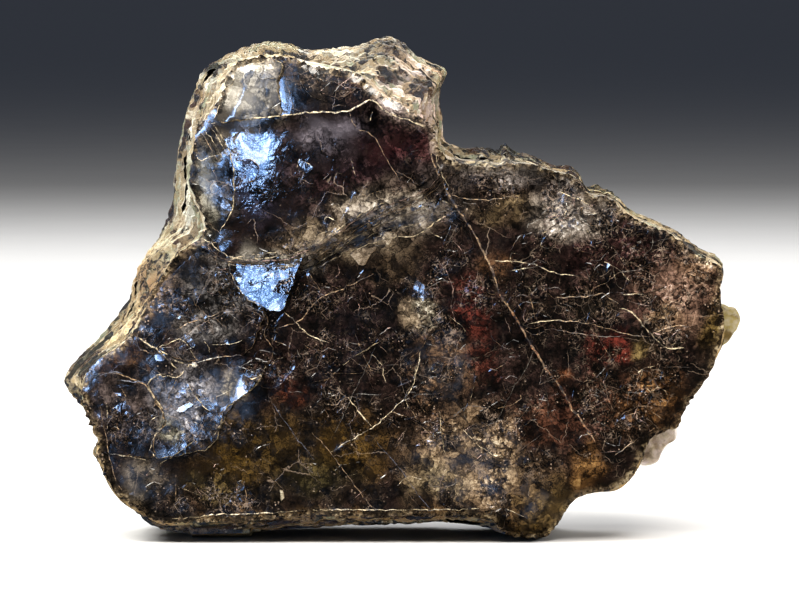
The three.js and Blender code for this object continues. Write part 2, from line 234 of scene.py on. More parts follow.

# The cracks and ledges that stand out: tone, width, rise of the side to the right of travel, and points. The
# blue ribbons are painted sheen, reflected window light painted as colour, and the pale ribbons on ledges
# that face the light are partly painted highlight.
LINES = [
    ("cream", 2.2, 0.32, [(215, 122), (237, 119), (269, 115), (284, 114), (308, 111), (338, 110), (350, 109),
                          (363, 102), (373, 98), (383, 107), (397, 115), (413, 120), (427, 126)]),
    ("tan", 1.1, 0.08, [(350, 109), (358, 127), (367, 129), (377, 138), (389, 160), (401, 177)]),
    ("cream", 1.7, -0.22, [(239, 70), (235, 83), (227, 97), (221, 109), (217, 119)]),
    ("cream", 1.9, -0.28, [(217, 123), (229, 141), (235, 156), (237, 176), (236, 204), (229, 218),
                           (223, 228)]),
    ("cream", 1.0, 0.06, [(209, 129), (218, 142), (227, 157)]),
    ("cream", 1.0, 0.06, [(215, 127), (223, 139), (231, 153)]),
    ("tan", 0.9, 0.05, [(203, 128), (212, 143), (221, 158)]),
    ("cream", 1.1, 0.08, [(198, 149), (203, 158), (214, 154), (226, 152)]),
    ("tan", 1.2, 0.15, [(238, 160), (252, 156), (262, 164), (258, 176), (246, 180)]),
    ("cream", 1.6, 0.2, [(318, 264), (333, 256), (347, 249), (366, 242), (391, 234), (416, 232),
                         (434, 219), (451, 210)]),
    ("cream", 1.3, 0.14, [(302, 268), (316, 262), (342, 244), (364, 236), (388, 226), (412, 222),
                          (432, 208)]),
    ("tan", 1.4, 0.15, [(280, 323), (301, 316), (310, 305), (321, 294), (348, 282), (374, 270)]),
    ("tan", 1.0, 0.1, [(309, 266), (315, 276), (321, 285), (322, 291)]),
    ("grey", 1.0, 0.02, [(376, 342), (367, 360), (359, 378), (352, 392), (343, 413), (336, 427)]),
    ("cream", 1.3, 0.1, [(382, 335), (364, 346), (344, 360)]),
    ("tan", 1.0, 0.08, [(428, 328), (421, 344), (410, 353)]),
    ("pink", 1.4, 0.12, [(444, 262), (448, 273), (453, 287), (450, 301), (455, 317)]),
    ("cream", 1.3, 0.1, [(437, 150), (436, 158), (443, 176), (448, 184)]),
    ("tan", 1.1, 0.08, [(494, 285), (492, 291), (485, 287)]),
    ("grey", 1.0, 0.04, [(532, 344), (525, 362), (512, 383), (501, 404), (494, 420)]),
    ("tan", 1.0, 0.1, [(450, 192), (469, 196), (494, 196), (512, 193)]),
    ("cream", 1.2, 0.12, [(492, 257), (519, 258), (534, 261), (551, 269), (575, 272)]),
    ("cream", 1.0, 0.06, [(508, 267), (535, 262)]),
    ("cream", 1.5, 0.15, [(556, 188), (577, 197), (592, 206)]),
    ("cream", 1.7, 0.2, [(601, 258), (616, 266), (628, 281)]),
    ("tan", 1.3, 0.15, [(553, 293), (587, 292), (599, 289), (616, 300)]),
    ("cream", 1.2, 0.1, [(615, 290), (640, 290)]),
    ("cream", 1.9, 0.26, [(616, 304), (630, 309), (640, 321), (651, 333), (663, 343), (680, 343)]),
    ("tan", 1.2, 0.1, [(647, 330), (663, 323), (675, 321), (687, 324)]),
    ("tan", 1.0, 0.1, [(547, 315), (572, 317), (594, 321), (627, 330), (647, 332)]),
    ("brown", 1.0, 0.08, [(547, 324), (578, 329), (606, 332), (623, 330)]),
    ("cream", 1.4, 0.15, [(523, 321), (535, 317), (545, 316), (560, 316)]),
    ("tan", 1.2, 0.08, [(526, 287), (530, 301), (533, 314)]),
    ("cream", 1.1, 0.1, [(637, 373), (640, 364), (651, 361)]),
    ("cream", 1.1, 0.1, [(640, 380), (648, 386), (656, 382), (664, 390)]),
    ("tan", 1.2, 0.12, [(617, 412), (625, 405), (643, 400), (650, 408), (662, 415)]),
    ("tan", 1.1, 0.1, [(612, 450), (625, 440), (638, 432)]),
    ("cream", 1.5, 0.14, [(331, 447), (372, 422), (391, 406), (407, 390), (414, 376), (420, 346)]),
    ("cream", 1.5, 0.1, [(349, 392), (359, 406), (372, 421)]),
    ("blue", 1.0, 0.03, [(274, 398), (294, 427), (315, 454)]),
    ("tan", 1.1, 0.05, [(313, 427), (331, 447), (352, 475), (374, 504)]),
    ("blue", 1.0, 0.03, [(377, 436), (398, 461), (416, 486), (430, 504)]),
    ("tan", 1.1, 0.08, [(391, 406), (416, 417), (434, 433)]),
    ("tan", 0.9, 0.05, [(407, 399), (421, 420)]),
    ("cream", 1.7, 0.12, [(439, 406), (441, 431), (445, 448)]),
    ("cream", 1.2, 0.1, [(462, 424), (474, 436), (485, 445), (503, 452)]),
    ("cream", 1.9, 0.2, [(134, 329), (147, 337), (160, 345), (178, 362), (186, 373)]),
    ("cream", 1.2, 0.12, [(162, 343), (170, 339), (178, 336), (186, 335), (193, 343), (198, 353)]),
    ("cream", 1.7, 0.2, [(163, 345), (178, 355), (193, 360), (199, 361)]),
    ("white", 1.9, 0.2, [(197, 358), (212, 354), (224, 352)]),
    ("tan", 1.4, 0.12, [(180, 325), (193, 318), (208, 314), (223, 307)]),
    ("cream", 1.1, 0.08, [(215, 340), (230, 340), (245, 335)]),
    ("cream", 1.5, 0.18, [(169, 369), (160, 371), (152, 379), (156, 390), (163, 399), (169, 405)]),
    ("cream", 1.5, 0.14, [(189, 377), (197, 388), (206, 401), (212, 405)]),
    ("tan", 1.2, 0.1, [(180, 373), (175, 384), (171, 393), (169, 403)]),
    ("cream", 2.1, 0.26, [(268, 361), (260, 377), (252, 386), (237, 395), (226, 406), (223, 417),
                          (217, 429)]),
    ("cream", 1.5, 0.14, [(197, 435), (186, 443), (175, 451), (163, 458)]),
    ("cream", 1.3, 0.12, [(112, 449), (127, 450), (145, 454), (152, 456)]),
    # The next two blue ribbons at the tip are painted reflections, a blue sheen of the window light, not
    # cracks.
    ("blue", 1.5, 0.12, [(103, 371), (112, 368), (121, 367), (127, 369)]),
    ("blue", 1.9, 0.12, [(121, 375), (135, 376), (149, 378)]),
    ("tan", 1.1, 0.1, [(104, 400), (108, 423), (112, 447), (119, 474), (129, 490), (141, 502)]),
    ("cream", 1.2, 0.14, [(245, 369), (254, 373), (263, 369)]),
    ("tan", 1.0, 0.06, [(245, 477), (248, 490), (246, 503)]),
    ("tan", 0.9, 0.05, [(230, 493), (243, 503)]),
    ("tan", 0.9, 0.05, [(178, 478), (178, 497)]),
    ("cream", 1.3, 0.1, [(285, 306), (296, 316), (310, 330), (330, 338)]),
    ("tan", 1.2, 0.1, [(262, 303), (270, 316), (266, 330), (275, 345), (270, 360)]),
    ("cream", 1.6, 0.12, [(133, 500), (148, 508), (168, 513), (192, 512), (215, 509),
                          (250, 508), (290, 506)]),
    ("cream", 1.4, 0.1, [(290, 506), (330, 504), (380, 504), (430, 504), (478, 503)]),
    ("tan", 1.2, 0.1, [(604, 188), (618, 200), (636, 214), (660, 226), (684, 240), (704, 256)]),
]

LINE_THINNING = 0.56

# Small plates with a colour of their own: colour, lift in millimetres, outline.
PATCHES = {
    "tan_flake": ((176, 152, 128), 0.25,
        [(351, 251), (359, 244), (378, 243), (369, 253), (366, 262), (359, 260)]),
    "gold_bit": ((206, 186, 150), 0.2, [(281, 484), (285, 485), (286, 491), (283, 496), (281, 491)]),
    "black_lens": ((8, 7, 9), 0.0, [(523, 325), (529, 321), (538, 321), (544, 325), (538, 329), (529, 329)]),
    "white_knob": ((240, 236, 228), 0.2, [(195, 357), (200, 357), (201, 362), (196, 363)]),
}

# Soft regions of the front face's colour, a few of them painted light as marked below: x, y, radius across,
# radius down, colour, strength.
BODY_COLOUR = (26, 17, 15)
COLOUR_POWER = 1.4
WARP_UNITS = 26
WARP_REACH = 18
WARP_SEEDS = (3, 11)
FACE_COLOURS = [
    (340, 165, 74, 52, (34, 27, 30), 0.9), (395, 145, 30, 18, (54, 26, 28), 0.7),
    (350, 185, 50, 20, (46, 26, 28), 0.6), (330, 130, 28, 16, (112, 106, 118), 0.85),
    (375, 195, 45, 9, (70, 64, 46), 0.7), (252, 88, 24, 30, (204, 194, 176), 1.0),
    (262, 66, 14, 10, (220, 200, 166), 0.6), (207, 190, 20, 42, (140, 136, 122), 0.9),
    # The second zone here, at (256, 172), is a painted reflection: the blue of the window's glare laid into
    # the colour.
    (238, 140, 24, 16, (120, 110, 96), 0.7), (256, 172, 20, 40, (44, 54, 82), 0.6),
    # The second zone here, at (398, 206), is the lobe's riser: partly its pale crumbs and partly painted
    # light, brightened because it faces down into shade.
    (300, 85, 40, 16, (44, 38, 32), 0.6), (398, 206, 48, 17, (232, 208, 182), 0.95),
    (348, 236, 48, 14, (176, 152, 122), 0.9), (155, 290, 24, 30, (150, 116, 80), 0.8),
    (142, 276, 12, 20, (150, 112, 70), 0.7), (222, 282, 42, 26, (86, 84, 84), 0.8),
    (205, 320, 28, 14, (146, 142, 142), 0.8), (212, 262, 18, 10, (18, 18, 22), 0.8),
    (112, 357, 34, 11, (60, 38, 24), 0.95), (144, 358, 18, 10, (72, 50, 30), 0.7),
    (120, 395, 30, 24, (74, 64, 62), 0.8), (135, 425, 30, 16, (34, 32, 36), 0.8),
    (190, 395, 30, 30, (150, 146, 152), 0.85), (145, 474, 26, 20, (98, 88, 76), 0.8),
    (240, 445, 44, 36, (68, 50, 16), 0.8), (300, 440, 60, 34, (56, 42, 18), 0.7),
    (352, 442, 42, 28, (76, 55, 20), 0.7), (320, 474, 46, 20, (40, 38, 20), 0.6),
    (215, 485, 40, 16, (52, 44, 24), 0.7), (292, 386, 16, 12, (72, 34, 20), 0.7),
    (350, 312, 66, 46, (17, 11, 12), 0.95), (395, 262, 30, 14, (66, 54, 40), 0.6),
    (468, 306, 17, 24, (68, 26, 20), 0.8), (483, 352, 14, 24, (62, 25, 18), 0.7),
    (490, 262, 7, 14, (96, 66, 42), 0.6), (440, 362, 24, 36, (110, 82, 58), 0.7),
    (398, 330, 22, 12, (12, 9, 10), 0.7), (610, 240, 60, 26, (44, 25, 25), 0.85),
    (520, 230, 50, 24, (28, 19, 17), 0.85), (505, 206, 34, 10, (94, 78, 54), 0.6),
    (572, 212, 28, 20, (226, 206, 188), 0.95), (638, 304, 15, 13, (104, 64, 66), 0.7),
    (662, 312, 22, 9, (112, 90, 44), 0.65), (612, 345, 20, 12, (92, 32, 24), 0.8),
    (600, 300, 44, 12, (22, 20, 14), 0.7), (712, 320, 12, 32, (112, 90, 44), 0.75),
    (676, 290, 36, 30, (150, 112, 94), 0.75), (650, 400, 34, 30, (96, 64, 34), 0.8),
    (604, 386, 30, 26, (52, 31, 22), 0.7), (474, 458, 50, 40, (176, 142, 106), 0.75),
    (440, 474, 26, 18, (130, 114, 84), 0.6), (545, 420, 36, 24, (66, 38, 26), 0.8),
    (586, 466, 13, 20, (176, 124, 70), 0.8), (545, 510, 28, 28, (128, 100, 54), 0.9),
    (545, 500, 24, 5, (26, 20, 12), 0.7), (690, 262, 18, 12, (140, 104, 76), 0.6),
    (330, 519, 170, 12, (104, 78, 48), 0.8),
    (640, 343, 9, 6, (160, 132, 80), 0.7), (402, 103, 20, 14, (196, 170, 160), 0.9),
    (428, 126, 7, 13, (200, 176, 168), 0.7), (558, 376, 8, 8, (106, 62, 38), 0.7),
    (530, 168, 80, 15, (128, 118, 112), 0.75), (229, 381, 9, 13, (190, 170, 136), 0.9),
    (411, 310, 10, 8, (166, 142, 114), 0.9),
    (426, 311, 6, 8, (232, 216, 184), 0.95), (165, 384, 9, 12, (138, 134, 142), 0.7),
    (177, 431, 10, 9, (170, 164, 140), 0.9), (403, 206, 12, 9, (226, 202, 180), 0.8),
    # The second zone here, at (270, 255), is painted light: the lobe's down-facing foot brightened to pale
    # cream where it lies in shade.
    (582, 202, 9, 6, (110, 78, 54), 0.8), (270, 255, 34, 9, (206, 196, 180), 0.9),
]
BACK_COLOURS = [
    (560, 300, 80, 60, (58, 40, 26), 0.8), (420, 380, 90, 60, (76, 58, 28), 0.7),
    (250, 420, 70, 50, (60, 48, 26), 0.7), (300, 180, 70, 60, (34, 26, 26), 0.8),
    (640, 340, 50, 40, (92, 66, 34), 0.7), (380, 260, 40, 30, (70, 34, 28), 0.6),
    (180, 350, 50, 40, (48, 38, 30), 0.7), (500, 450, 50, 30, (104, 86, 60), 0.6),
    (620, 260, 70, 50, (84, 60, 44), 0.7), (240, 160, 60, 40, (96, 88, 80), 0.6),
    (150, 460, 60, 40, (110, 96, 72), 0.6), (350, 330, 40, 60, (22, 14, 14), 0.8),
]

# How broken the front face is in places, from 0 to 1: x, y, radius across, radius down, amount.
BROKEN = [
    (405, 105, 22, 16, 0.9),
    (345, 165, 70, 48, 0.07), (256, 88, 30, 30, 0.0), (110, 358, 40, 12, 0.05), (300, 470, 90, 36, 0.2),
    (295, 165, 10, 18, 0.7), (238, 292, 46, 34, 0.6), (160, 300, 30, 34, 0.7), (262, 368, 22, 20, 0.9),
    (478, 446, 56, 50, 0.95), (432, 360, 36, 40, 0.95), (660, 290, 50, 60, 0.9), (570, 212, 36, 26, 1.3),
    (396, 208, 56, 24, 1.0), (330, 250, 40, 18, 0.7), (335, 320, 60, 46, 0.6), (196, 398, 46, 40, 0.6),
    (618, 398, 50, 40, 0.8), (520, 170, 70, 24, 0.95), (560, 300, 60, 40, 0.7), (452, 290, 30, 40, 0.8),
    (120, 420, 40, 30, 0.5), (350, 400, 60, 30, 0.5), (340, 70, 60, 24, 0.7),
    (560, 410, 36, 30, 0.7), (220, 495, 60, 16, 0.5),
]
UNBROKEN = 0.12
BROKEN_POWER = 1
BACK_BROKEN = 0.6
CLUMP_UNITS = 34

# How glossy it is in places, from 0 to 1, and how much of the gloss is left at its border.
GLOSS = [
    (404, 104, 24, 18, 0.1),
    (215, 305, 60, 50, 0.8), (360, 160, 90, 60, 0.8), (150, 400, 60, 60, 0.6),
    (256, 172, 26, 52, 1.0), (272, 278, 40, 34, 1.0), (345, 160, 70, 46, 0.85), (252, 88, 26, 32, 0.0),
    (207, 190, 20, 42, 0.4), (110, 357, 44, 18, 0.5), (122, 398, 34, 26, 0.8), (212, 392, 52, 40, 0.4),
    (145, 474, 32, 26, 0.4), (400, 208, 50, 18, 0.3), (350, 236, 46, 12, 0.35), (470, 458, 52, 42, 0.2),
    (440, 360, 32, 38, 0.3), (572, 212, 30, 22, 0.3), (300, 518, 180, 14, 0.4), (520, 160, 64, 12, 0.5),
    (545, 505, 30, 28, 0.25), (290, 75, 60, 22, 0.35), (155, 290, 30, 40, 0.3),
    (240, 386, 16, 24, 0.1), (184, 407, 14, 12, 0.1), (284, 90, 12, 18, 0.4),
]
USUAL_GLOSS = 0.75
GLOSS_POWER = 1.5
BORDER_GLOSS = 0.8
BORDER_UNITS = 16
# Ribbon colours: blue is painted sheen of the window light, and cream and white are partly the ledges' own
# pale colour, partly painted highlight.
TONES = {
    "cream": (226, 206, 170), "tan": (176, 146, 112), "pink": (200, 166, 154), "grey": (134, 128, 120),
    "blue": (100, 106, 128), "white": (236, 232, 222), "dark": (58, 46, 36),
    "brown": (104, 78, 54), "rust": (176, 124, 84),
}


def linear(colour):
    """Linear red, green and blue of a screen colour given from 0 to 255."""
    c = np.asarray(colour, float) / 255
    return np.where(c <= 0.04045, c / 12.92, ((c + 0.055) / 1.055) ** 2.4)


def smooth_step(t):
    t = np.clip(t, 0, 1)
    return t * t * (3 - 2 * t)


def spot_share(points, x, y, across, down, power):
    """How much of a soft spot each point has: 1 at its middle and none well outside it. A higher power
    gives it a firmer edge."""
    away_squared = ((points[:, 0] - x) / across) ** 2 + ((points[:, 1] - y) / down) ** 2
    return np.exp(-(away_squared**power))


def spotted(points, base, spots, power):
    """A value at each point: the base, except in soft spots of x, y, radius across, radius down, value."""
    values = np.full(len(points), base)
    for x, y, across, down, amount in spots:
        share = spot_share(points, x, y, across, down, power)
        values = values * (1 - share) + amount * share
    return values


# Curves and outlines

LEAST_TURN = 1e-3


def curve_through(points, closed, per_span=12):
    """A Catmull-Rom curve through rows of any width, as a dense list of rows."""
    rows = np.asarray(points, float)
    count = len(rows)
    spans = count if closed else count - 1
    pick = (lambda k: k % count) if closed else (lambda k: min(max(k, 0), count - 1))
    dense = []
    for k in range(spans):
        a, b, c, d = (rows[pick(k + j)] for j in (-1, 0, 1, 2))
        for t in np.arange(per_span) / per_span:
            dense.append(0.5 * (2 * b + (c - a) * t + (2 * a - 5 * b + 4 * c - d) * t**2
                                + (3 * b - a - 3 * c + d) * t**3))
    dense.append(rows[0] if closed else rows[-1])
    return np.array(dense)


def at_equal_steps(dense, count):
    """Rows of a dense curve at count equal steps of the length of its first two columns."""
    run = np.concatenate([[0], np.cumsum(np.hypot(*np.diff(dense[:, :2], axis=0).T))])
    wanted = np.linspace(0, run[-1], count)
    return np.stack([np.interp(wanted, run, column) for column in dense.T], axis=1)


def loop_noise(count, width):
    """Smooth noise round a closed loop, of deviation 1, with features about width samples long."""
    steps = np.minimum(np.arange(count), count - np.arange(count))
    kernel = np.exp(-0.5 * (steps / width) ** 2)
    smooth = np.fft.irfft(np.fft.rfft(rng.standard_normal(count)) * np.fft.rfft(kernel), count)
    return smooth / smooth.std()


def inside(points, outline):
    """Whether each of the points is inside a closed outline."""
    x, y = points[:, 0], points[:, 1]
    result = np.zeros(len(points), bool)
    ring = np.asarray(outline, float)
    for (ax, ay), (bx, by) in zip(ring, np.roll(ring, -1, axis=0)):
        if ay != by:
            crosses = (ay > y) != (by > y)
            result ^= crosses & (x < (bx - ax) * (y - ay) / (by - ay) + ax)
    return result


def turns_left(quad):
    """Whether a small quad turns left at each corner, so that it neither folds nor runs backwards."""
    ahead = np.roll(quad, -1, axis=0) - quad
    after = np.roll(ahead, -1, axis=0)
    return bool((ahead[:, 0] * after[:, 1] - ahead[:, 1] * after[:, 0] > LEAST_TURN).all())


def to_line(points, line):
    """For each point: its distance to a line of points, on which side it is, and how far along, 0 to 1."""
    a, b = line[:-1], line[1:]
    span = b - a
    square = np.maximum((span**2).sum(1), 1e-9)
    best = np.full(len(points), np.inf)
    side = np.zeros(len(points))
    along = np.zeros(len(points))
    for k in range(len(a)):
        off = points - a[k]
        t = np.clip(off @ span[k] / square[k], 0, 1)
        gap = np.hypot(*(off - t[:, None] * span[k]).T)
        near = gap < best
        best[near] = gap[near]
        side[near] = np.sign(span[k][0] * off[near, 1] - span[k][1] * off[near, 0])
        along[near] = (k + t[near]) / len(a)
    return best, side, along


def closed_ring(rows):
    return np.vstack([rows, rows[:1]])


def plane_level(points, three):
    """The level, at each point, of the plane through three points of x, y and level."""
    corners = np.array([(x, y, 1) for x, y, _ in three], float)
    factors = np.linalg.solve(corners, [level for _, _, level in three])
    return points[:, 0] * factors[0] + points[:, 1] * factors[1] + factors[2]


def to_metres(points):
    """Places rows of drawing x, drawing y and level in the frame, kept inside the model's box."""
    rows = np.asarray(points, float)
    placed = np.stack([
        ORIGIN.x + (rows[:, 0] - MIDDLE_X) * UNIT,
        ORIGIN.y - rows[:, 2] * MM,
        (BASE_Y - rows[:, 1]) * UNIT,
    ], axis=1)
    return np.clip(placed, np.array(CAD_LOW), np.array(CAD_HIGH))


def new_object(name, data):
    made = bpy.data.objects.new(name, data)
    bpy.context.scene.collection.objects.link(made)
    return made


# The side of the book: a stack of thin sheets with frayed edges

SIDE_POINTS = 600
FRONT_SHEET = 0.31
BACK_SHEET = 0.45
SHEET_SPREAD = (0.45, 1.6)
SPLIT_LEVEL = 2
SLAB_BUNDLES = (2, 4)
BUNDLE_SHEETS = (3, 6)
SLAB_UNITS = 2.6
BUNDLE_UNITS = 2.2
FRAY_UNITS = 1.5
JAG_UNITS = 2.4
NOTCH_UNITS = 8.0
CREVICE_UNITS = 6.0
CREVICE_THICKNESS = 0.12
# A crevice sheet's tone is painted shade: it darkens the deeply set sheets between bundles.
CREVICE_SHADE = 0.25
MIDDLE_FRAY = 0.55
MORE_FRAY = 0.45
FULL_FRAY_LEVEL = 4
WHOLLY_FOOT = 0.98
FOOT_STANDS_BACK = 0.3
FOOT_FRONT_KEEPS = 0.5
FULL_REACH = 11
BORDER_DRIFT_UNITS = 1.3
BORDER_JAG_UNITS = 0.7
BORDER_WAVE = 0.06
BACK_DARKENING = 0.25
BACK_DARK_LEVELS = 8
JOIN_GAP = 0.02


def side_rows():
    """The side's rows round the loop, with each row's edge colour, paleness, raggedness and foot share."""
    rows = []
    for name, part in SIDE.items():
        colour, pale, ragged, band = SIDE_LOOKS[name]
        for x, y, face_x, face_y, level in part:
            face = x + (face_x - x) * band, y + (face_y - y) * band
            rows.append((x, y, *face, level, *colour, pale, ragged, float(y == BASE_Y)))
    return at_equal_steps(curve_through(rows, closed=True), SIDE_POINTS + 1)[:-1]


class BookSide:
    """The sheets' edges, from the back of the book to the front."""

    def __init__(self):
        rows = side_rows()
        self.rim = rows[:, 0:2]
        self.face = rows[:, 2:4]
        self.level = rows[:, 4]
        self.colour = linear(np.clip(rows[:, 5:8], 0, 255))
        self.pale = rows[:, 8]
        self.ragged = rows[:, 9]
        self.foot = np.clip(rows[:, 10], 0, 1) > WHOLLY_FOOT
        self.reach = np.hypot(*(self.rim - self.face).T)
        self.outward = (self.rim - self.face) / self.reach[:, None]
        self.give = self.ragged * np.minimum(self.reach / FULL_REACH, 1)
        self.front = self.border_front()
        self.back_level = self.levels_at_back()
        self.back = self.edge_at(self.back_level, self.fray(BUNDLE_UNITS, 3))

    def share(self, level):
        """The share of the way from the face's edge, at 0, to the rim, at 1."""
        behind = 1 - BACK_INSET * np.abs(np.minimum(level, 0) / BACK_LEVEL) ** BACK_BULGE
        ahead = 1 - np.clip(level / self.level, 0, 1) ** FRONT_BULGE
        return np.where(np.asarray(level) < 0, behind, ahead)

    def edge_at(self, level, stand_back):
        """Rows of x, y and level of a sheet's edge, which stands back from the full outline by an amount."""
        share = np.minimum(self.share(level) - stand_back / self.reach, 1)
        xy = self.face + (self.rim - self.face) * np.maximum(share, 0)[:, None]
        return np.column_stack([xy, np.broadcast_to(level, share.shape)])

    def border_front(self):
        """The ragged line where the side meets the front face."""
        drift = np.clip(loop_noise(SIDE_POINTS, 4), -2, 2) * BORDER_DRIFT_UNITS * self.give
        drift += rng.normal(0, BORDER_JAG_UNITS, SIDE_POINTS) * self.give
        wave = np.clip(loop_noise(SIDE_POINTS, 9), -2, 2) * BORDER_WAVE
        return np.column_stack([self.face + self.outward * drift[:, None], self.level + wave])

    def levels_at_back(self):
        levels = np.full(SIDE_POINTS, float(BACK_LEVEL))
        middle = self.edge_at(BACK_LEVEL, 0)[:, :2]
        for level, outline in BACK_BREAKS.values():
            levels[inside(middle, outline)] = level
        return levels

    def fray(self, units, width):
        return units * (1 + np.clip(loop_noise(SIDE_POINTS, width), -1, 2)) * self.give

    def sheets(self):
        """Each sheet's low level, high level, how far its edge stands back, and its tone, which on a crevice
        sheet is painted shade.
        """
        level, sheets_left, bundles_left = BACK_LEVEL, 0, 0
        made = []
        while level < LOBE_LEVEL:
            thickness = (FRONT_SHEET if level > -1 else BACK_SHEET) * rng.uniform(*SHEET_SPREAD)
            tone = np.clip(bundle_tone, 0.3, 1.5) * rng.uniform(0.75, 1.25) if made else 1.0
            deep = 0
            if bundles_left == 0:
                bundles_left = rng.integers(*SLAB_BUNDLES)
                slab = self.fray(SLAB_UNITS, 16)
            if sheets_left == 0:
                sheets_left = rng.integers(*BUNDLE_SHEETS)
                bundles_left -= 1
                bundle = self.fray(BUNDLE_UNITS, 9)
                bundle_tone = 0.95 + 0.4 * loop_noise(SIDE_POINTS, 12)
                deep = CREVICE_UNITS * self.give * (0.4 + 0.6 * (loop_noise(SIDE_POINTS, 10) > -0.4))
                # A thin crevice sheet set deep, darkened as painted shade.
                thickness, tone = CREVICE_THICKNESS, CREVICE_SHADE
            else:
                sheets_left -= 1
            notch = NOTCH_UNITS * smooth_step(loop_noise(SIDE_POINTS, 6) - 1.0) * self.give
            jags = JAG_UNITS * rng.random(SIDE_POINTS) ** 2 * self.give
            stand_back = slab + bundle + deep + notch + jags + self.fray(FRAY_UNITS, 1.4)
            stand_back *= MIDDLE_FRAY + MORE_FRAY * min(abs(level) / FULL_FRAY_LEVEL, 1)
            standing = self.foot & (level >= FOOT_LEVELS[0]) & (level + thickness <= FOOT_LEVELS[1])
            stand_back = np.where(standing, stand_back * (rng.random() < FOOT_STANDS_BACK), stand_back)
            stand_back = np.where(self.foot & (level > 0), FOOT_FRONT_KEEPS * stand_back, stand_back)
            high = min(level + thickness, LOBE_LEVEL)
            made.append((level, high, stand_back, np.broadcast_to(tone, SIDE_POINTS)))
            level += thickness
        return made

    def tint(self, places, tone):
        """Each point's edge colour and paleness, from its stretch of the side, its spot and its sheet."""
        colour, pale = self.colour, self.pale
        for x, y, across, down, spot, spot_pale, strength in SIDE_SPOTS:
            near = spot_share(places, x, y, across, down, SIDE_SPOT_POWER) * strength
            colour = colour * (1 - near)[:, None] + linear(spot) * near[:, None]
            pale = pale * (1 - near) + spot_pale * near
        pale = pale * (1 - BACK_DARKENING * smooth_step(-places[:, 2] / BACK_DARK_LEVELS))
        return np.column_stack([colour * tone[:, None] ** 0.6, np.clip(pale + 0.3 * (tone - 1), 0.02, 1)])

    def build(self, back_mesh, front_mesh):
        """Adds the side to the two meshes, which part at one sheet, and returns their outer borders."""
        back = back_mesh.add_points(self.back)
        front = front_mesh.add_points(self.front)
        mesh = back_mesh
        lower = back, self.tint(self.back, np.ones(SIDE_POINTS))
        for low, high, stand_back, tone in self.sheets():
            for level in (low, high):
                places = self.edge_at(level, stand_back)
                tint = self.tint(places, tone)
                upper = self.joined(mesh, places, level, back, front), tint
                mesh.add_band(lower, upper)
                lower = upper
            if mesh is back_mesh and high > SPLIT_LEVEL:
                mesh.add_cap(lower[0])
                mesh = front_mesh
                lower = mesh.add_points(places), tint
                mesh.add_cap(lower[0][::-1])
        crumbled = np.clip(0.85 + 0.45 * loop_noise(SIDE_POINTS, 1.6), 0.15, 1.4)
        mesh.add_band(lower, (front, self.tint(self.front, crumbled)))
        return back, front

    def joined(self, mesh, places, level, back, front):
        """Adds a sheet's edge to a mesh, except where the sheet is past the border, which it joins there."""
        edge = mesh.add_points(places)
        if level > SPLIT_LEVEL:
            return np.where(level >= self.front[:, 2] - JOIN_GAP, front, edge)
        return np.where(level <= self.back_level + JOIN_GAP, back, edge)


# The mesh under construction

CREASE_DEGREES = 24
CAP_TINT = (0.02, 0.014, 0.01, 0.1)


class BookMesh:
    """Points, faces, each face's material, and the tint and gloss of each of its corners."""

    def __init__(self):
        self.points = []
        self.count = 0
        self.faces = []
        self.kinds = []
        self.tints = []
        self.gloss = []

    def add_points(self, rows):
        self.points.append(np.asarray(rows, float))
        self.count += len(rows)
        return np.arange(self.count - len(rows), self.count)

    def add_band(self, lower, upper):
        """Adds the strip between two rings of a sheet's edge, each its vertices and their tints."""
        (low, _), (high, tint) = lower, upper
        for i, j in enumerate(np.roll(np.arange(len(low)), -1)):
            self.add_face([low[i], low[j], high[j], high[i]], "edges", [tint[i], tint[j], tint[j], tint[i]])

    def add_cap(self, ring):
        """Closes the mesh flat across a ring."""
        self.add_face(list(ring), "edges", [CAP_TINT] * len(ring))

    def add_face(self, corners, kind, tints, gloss=None):
        kept = [k for k in range(len(corners)) if corners[k] != corners[k - 1]]
        if len(kept) < 3 or len({corners[k] for k in kept}) < len(kept):
            return
        self.faces.append([int(corners[k]) for k in kept])
        self.kinds.append(kind)
        self.tints += [tints[k] for k in kept]
        self.gloss += [gloss[k] for k in kept] if gloss else [USUAL_GLOSS] * len(kept)

    def to_object(self, name, materials):
        """An object smooth-shaded but for its flat sheet edges, with creases kept sharp, and a tint and gloss
        on each corner.
        """
        data = bpy.data.meshes.new(name)
        data.from_pydata(to_metres(np.concatenate(self.points)).tolist(), [], self.faces)
        order = list(materials)
        for material in materials.values():
            data.materials.append(material)
        data.polygons.foreach_set("material_index", [order.index(kind) for kind in self.kinds])
        data.polygons.foreach_set("use_smooth", [kind != "edges" for kind in self.kinds])
        layer = data.color_attributes.new("tint", "FLOAT_COLOR", "CORNER")
        layer.data.foreach_set("color", np.array(self.tints, float).ravel())
        data.attributes.new("gloss", "FLOAT", "CORNER").data.foreach_set("value", self.gloss)
        data.set_sharp_from_angle(angle=math.radians(CREASE_DEGREES))
        return new_object(name, data)


# The faces of the book: a mosaic of plates between cracks and ledges

GRID_UNITS = 4.4
GRID_SHAKE = 0.36
LINE_STEP = 4.0
LIFT_REACH = 26
KEEP_FROM_BORDER = 3.0
SAME_POINT = 1e-4
PATCH_GAIN = 1.1
PATCH_ALPHA = 0.08
RIM_UNITS = 7
RIM_COLOUR = (188, 160, 120)
RIM_SHARES = [0.1, 0.35, 0.9]
RIM_BROKEN = 0.8
TAPER_POINTS = 2.5
WIDTH_SPREAD = (0.35, 1.5)
SHARD_REACH = 32
SHARD_TONES = ["cream", "tan", "grey", "brown", "pink"]
WORN = 0.4
WEAR = (1.0, 1.0, 0.7, 0.3)


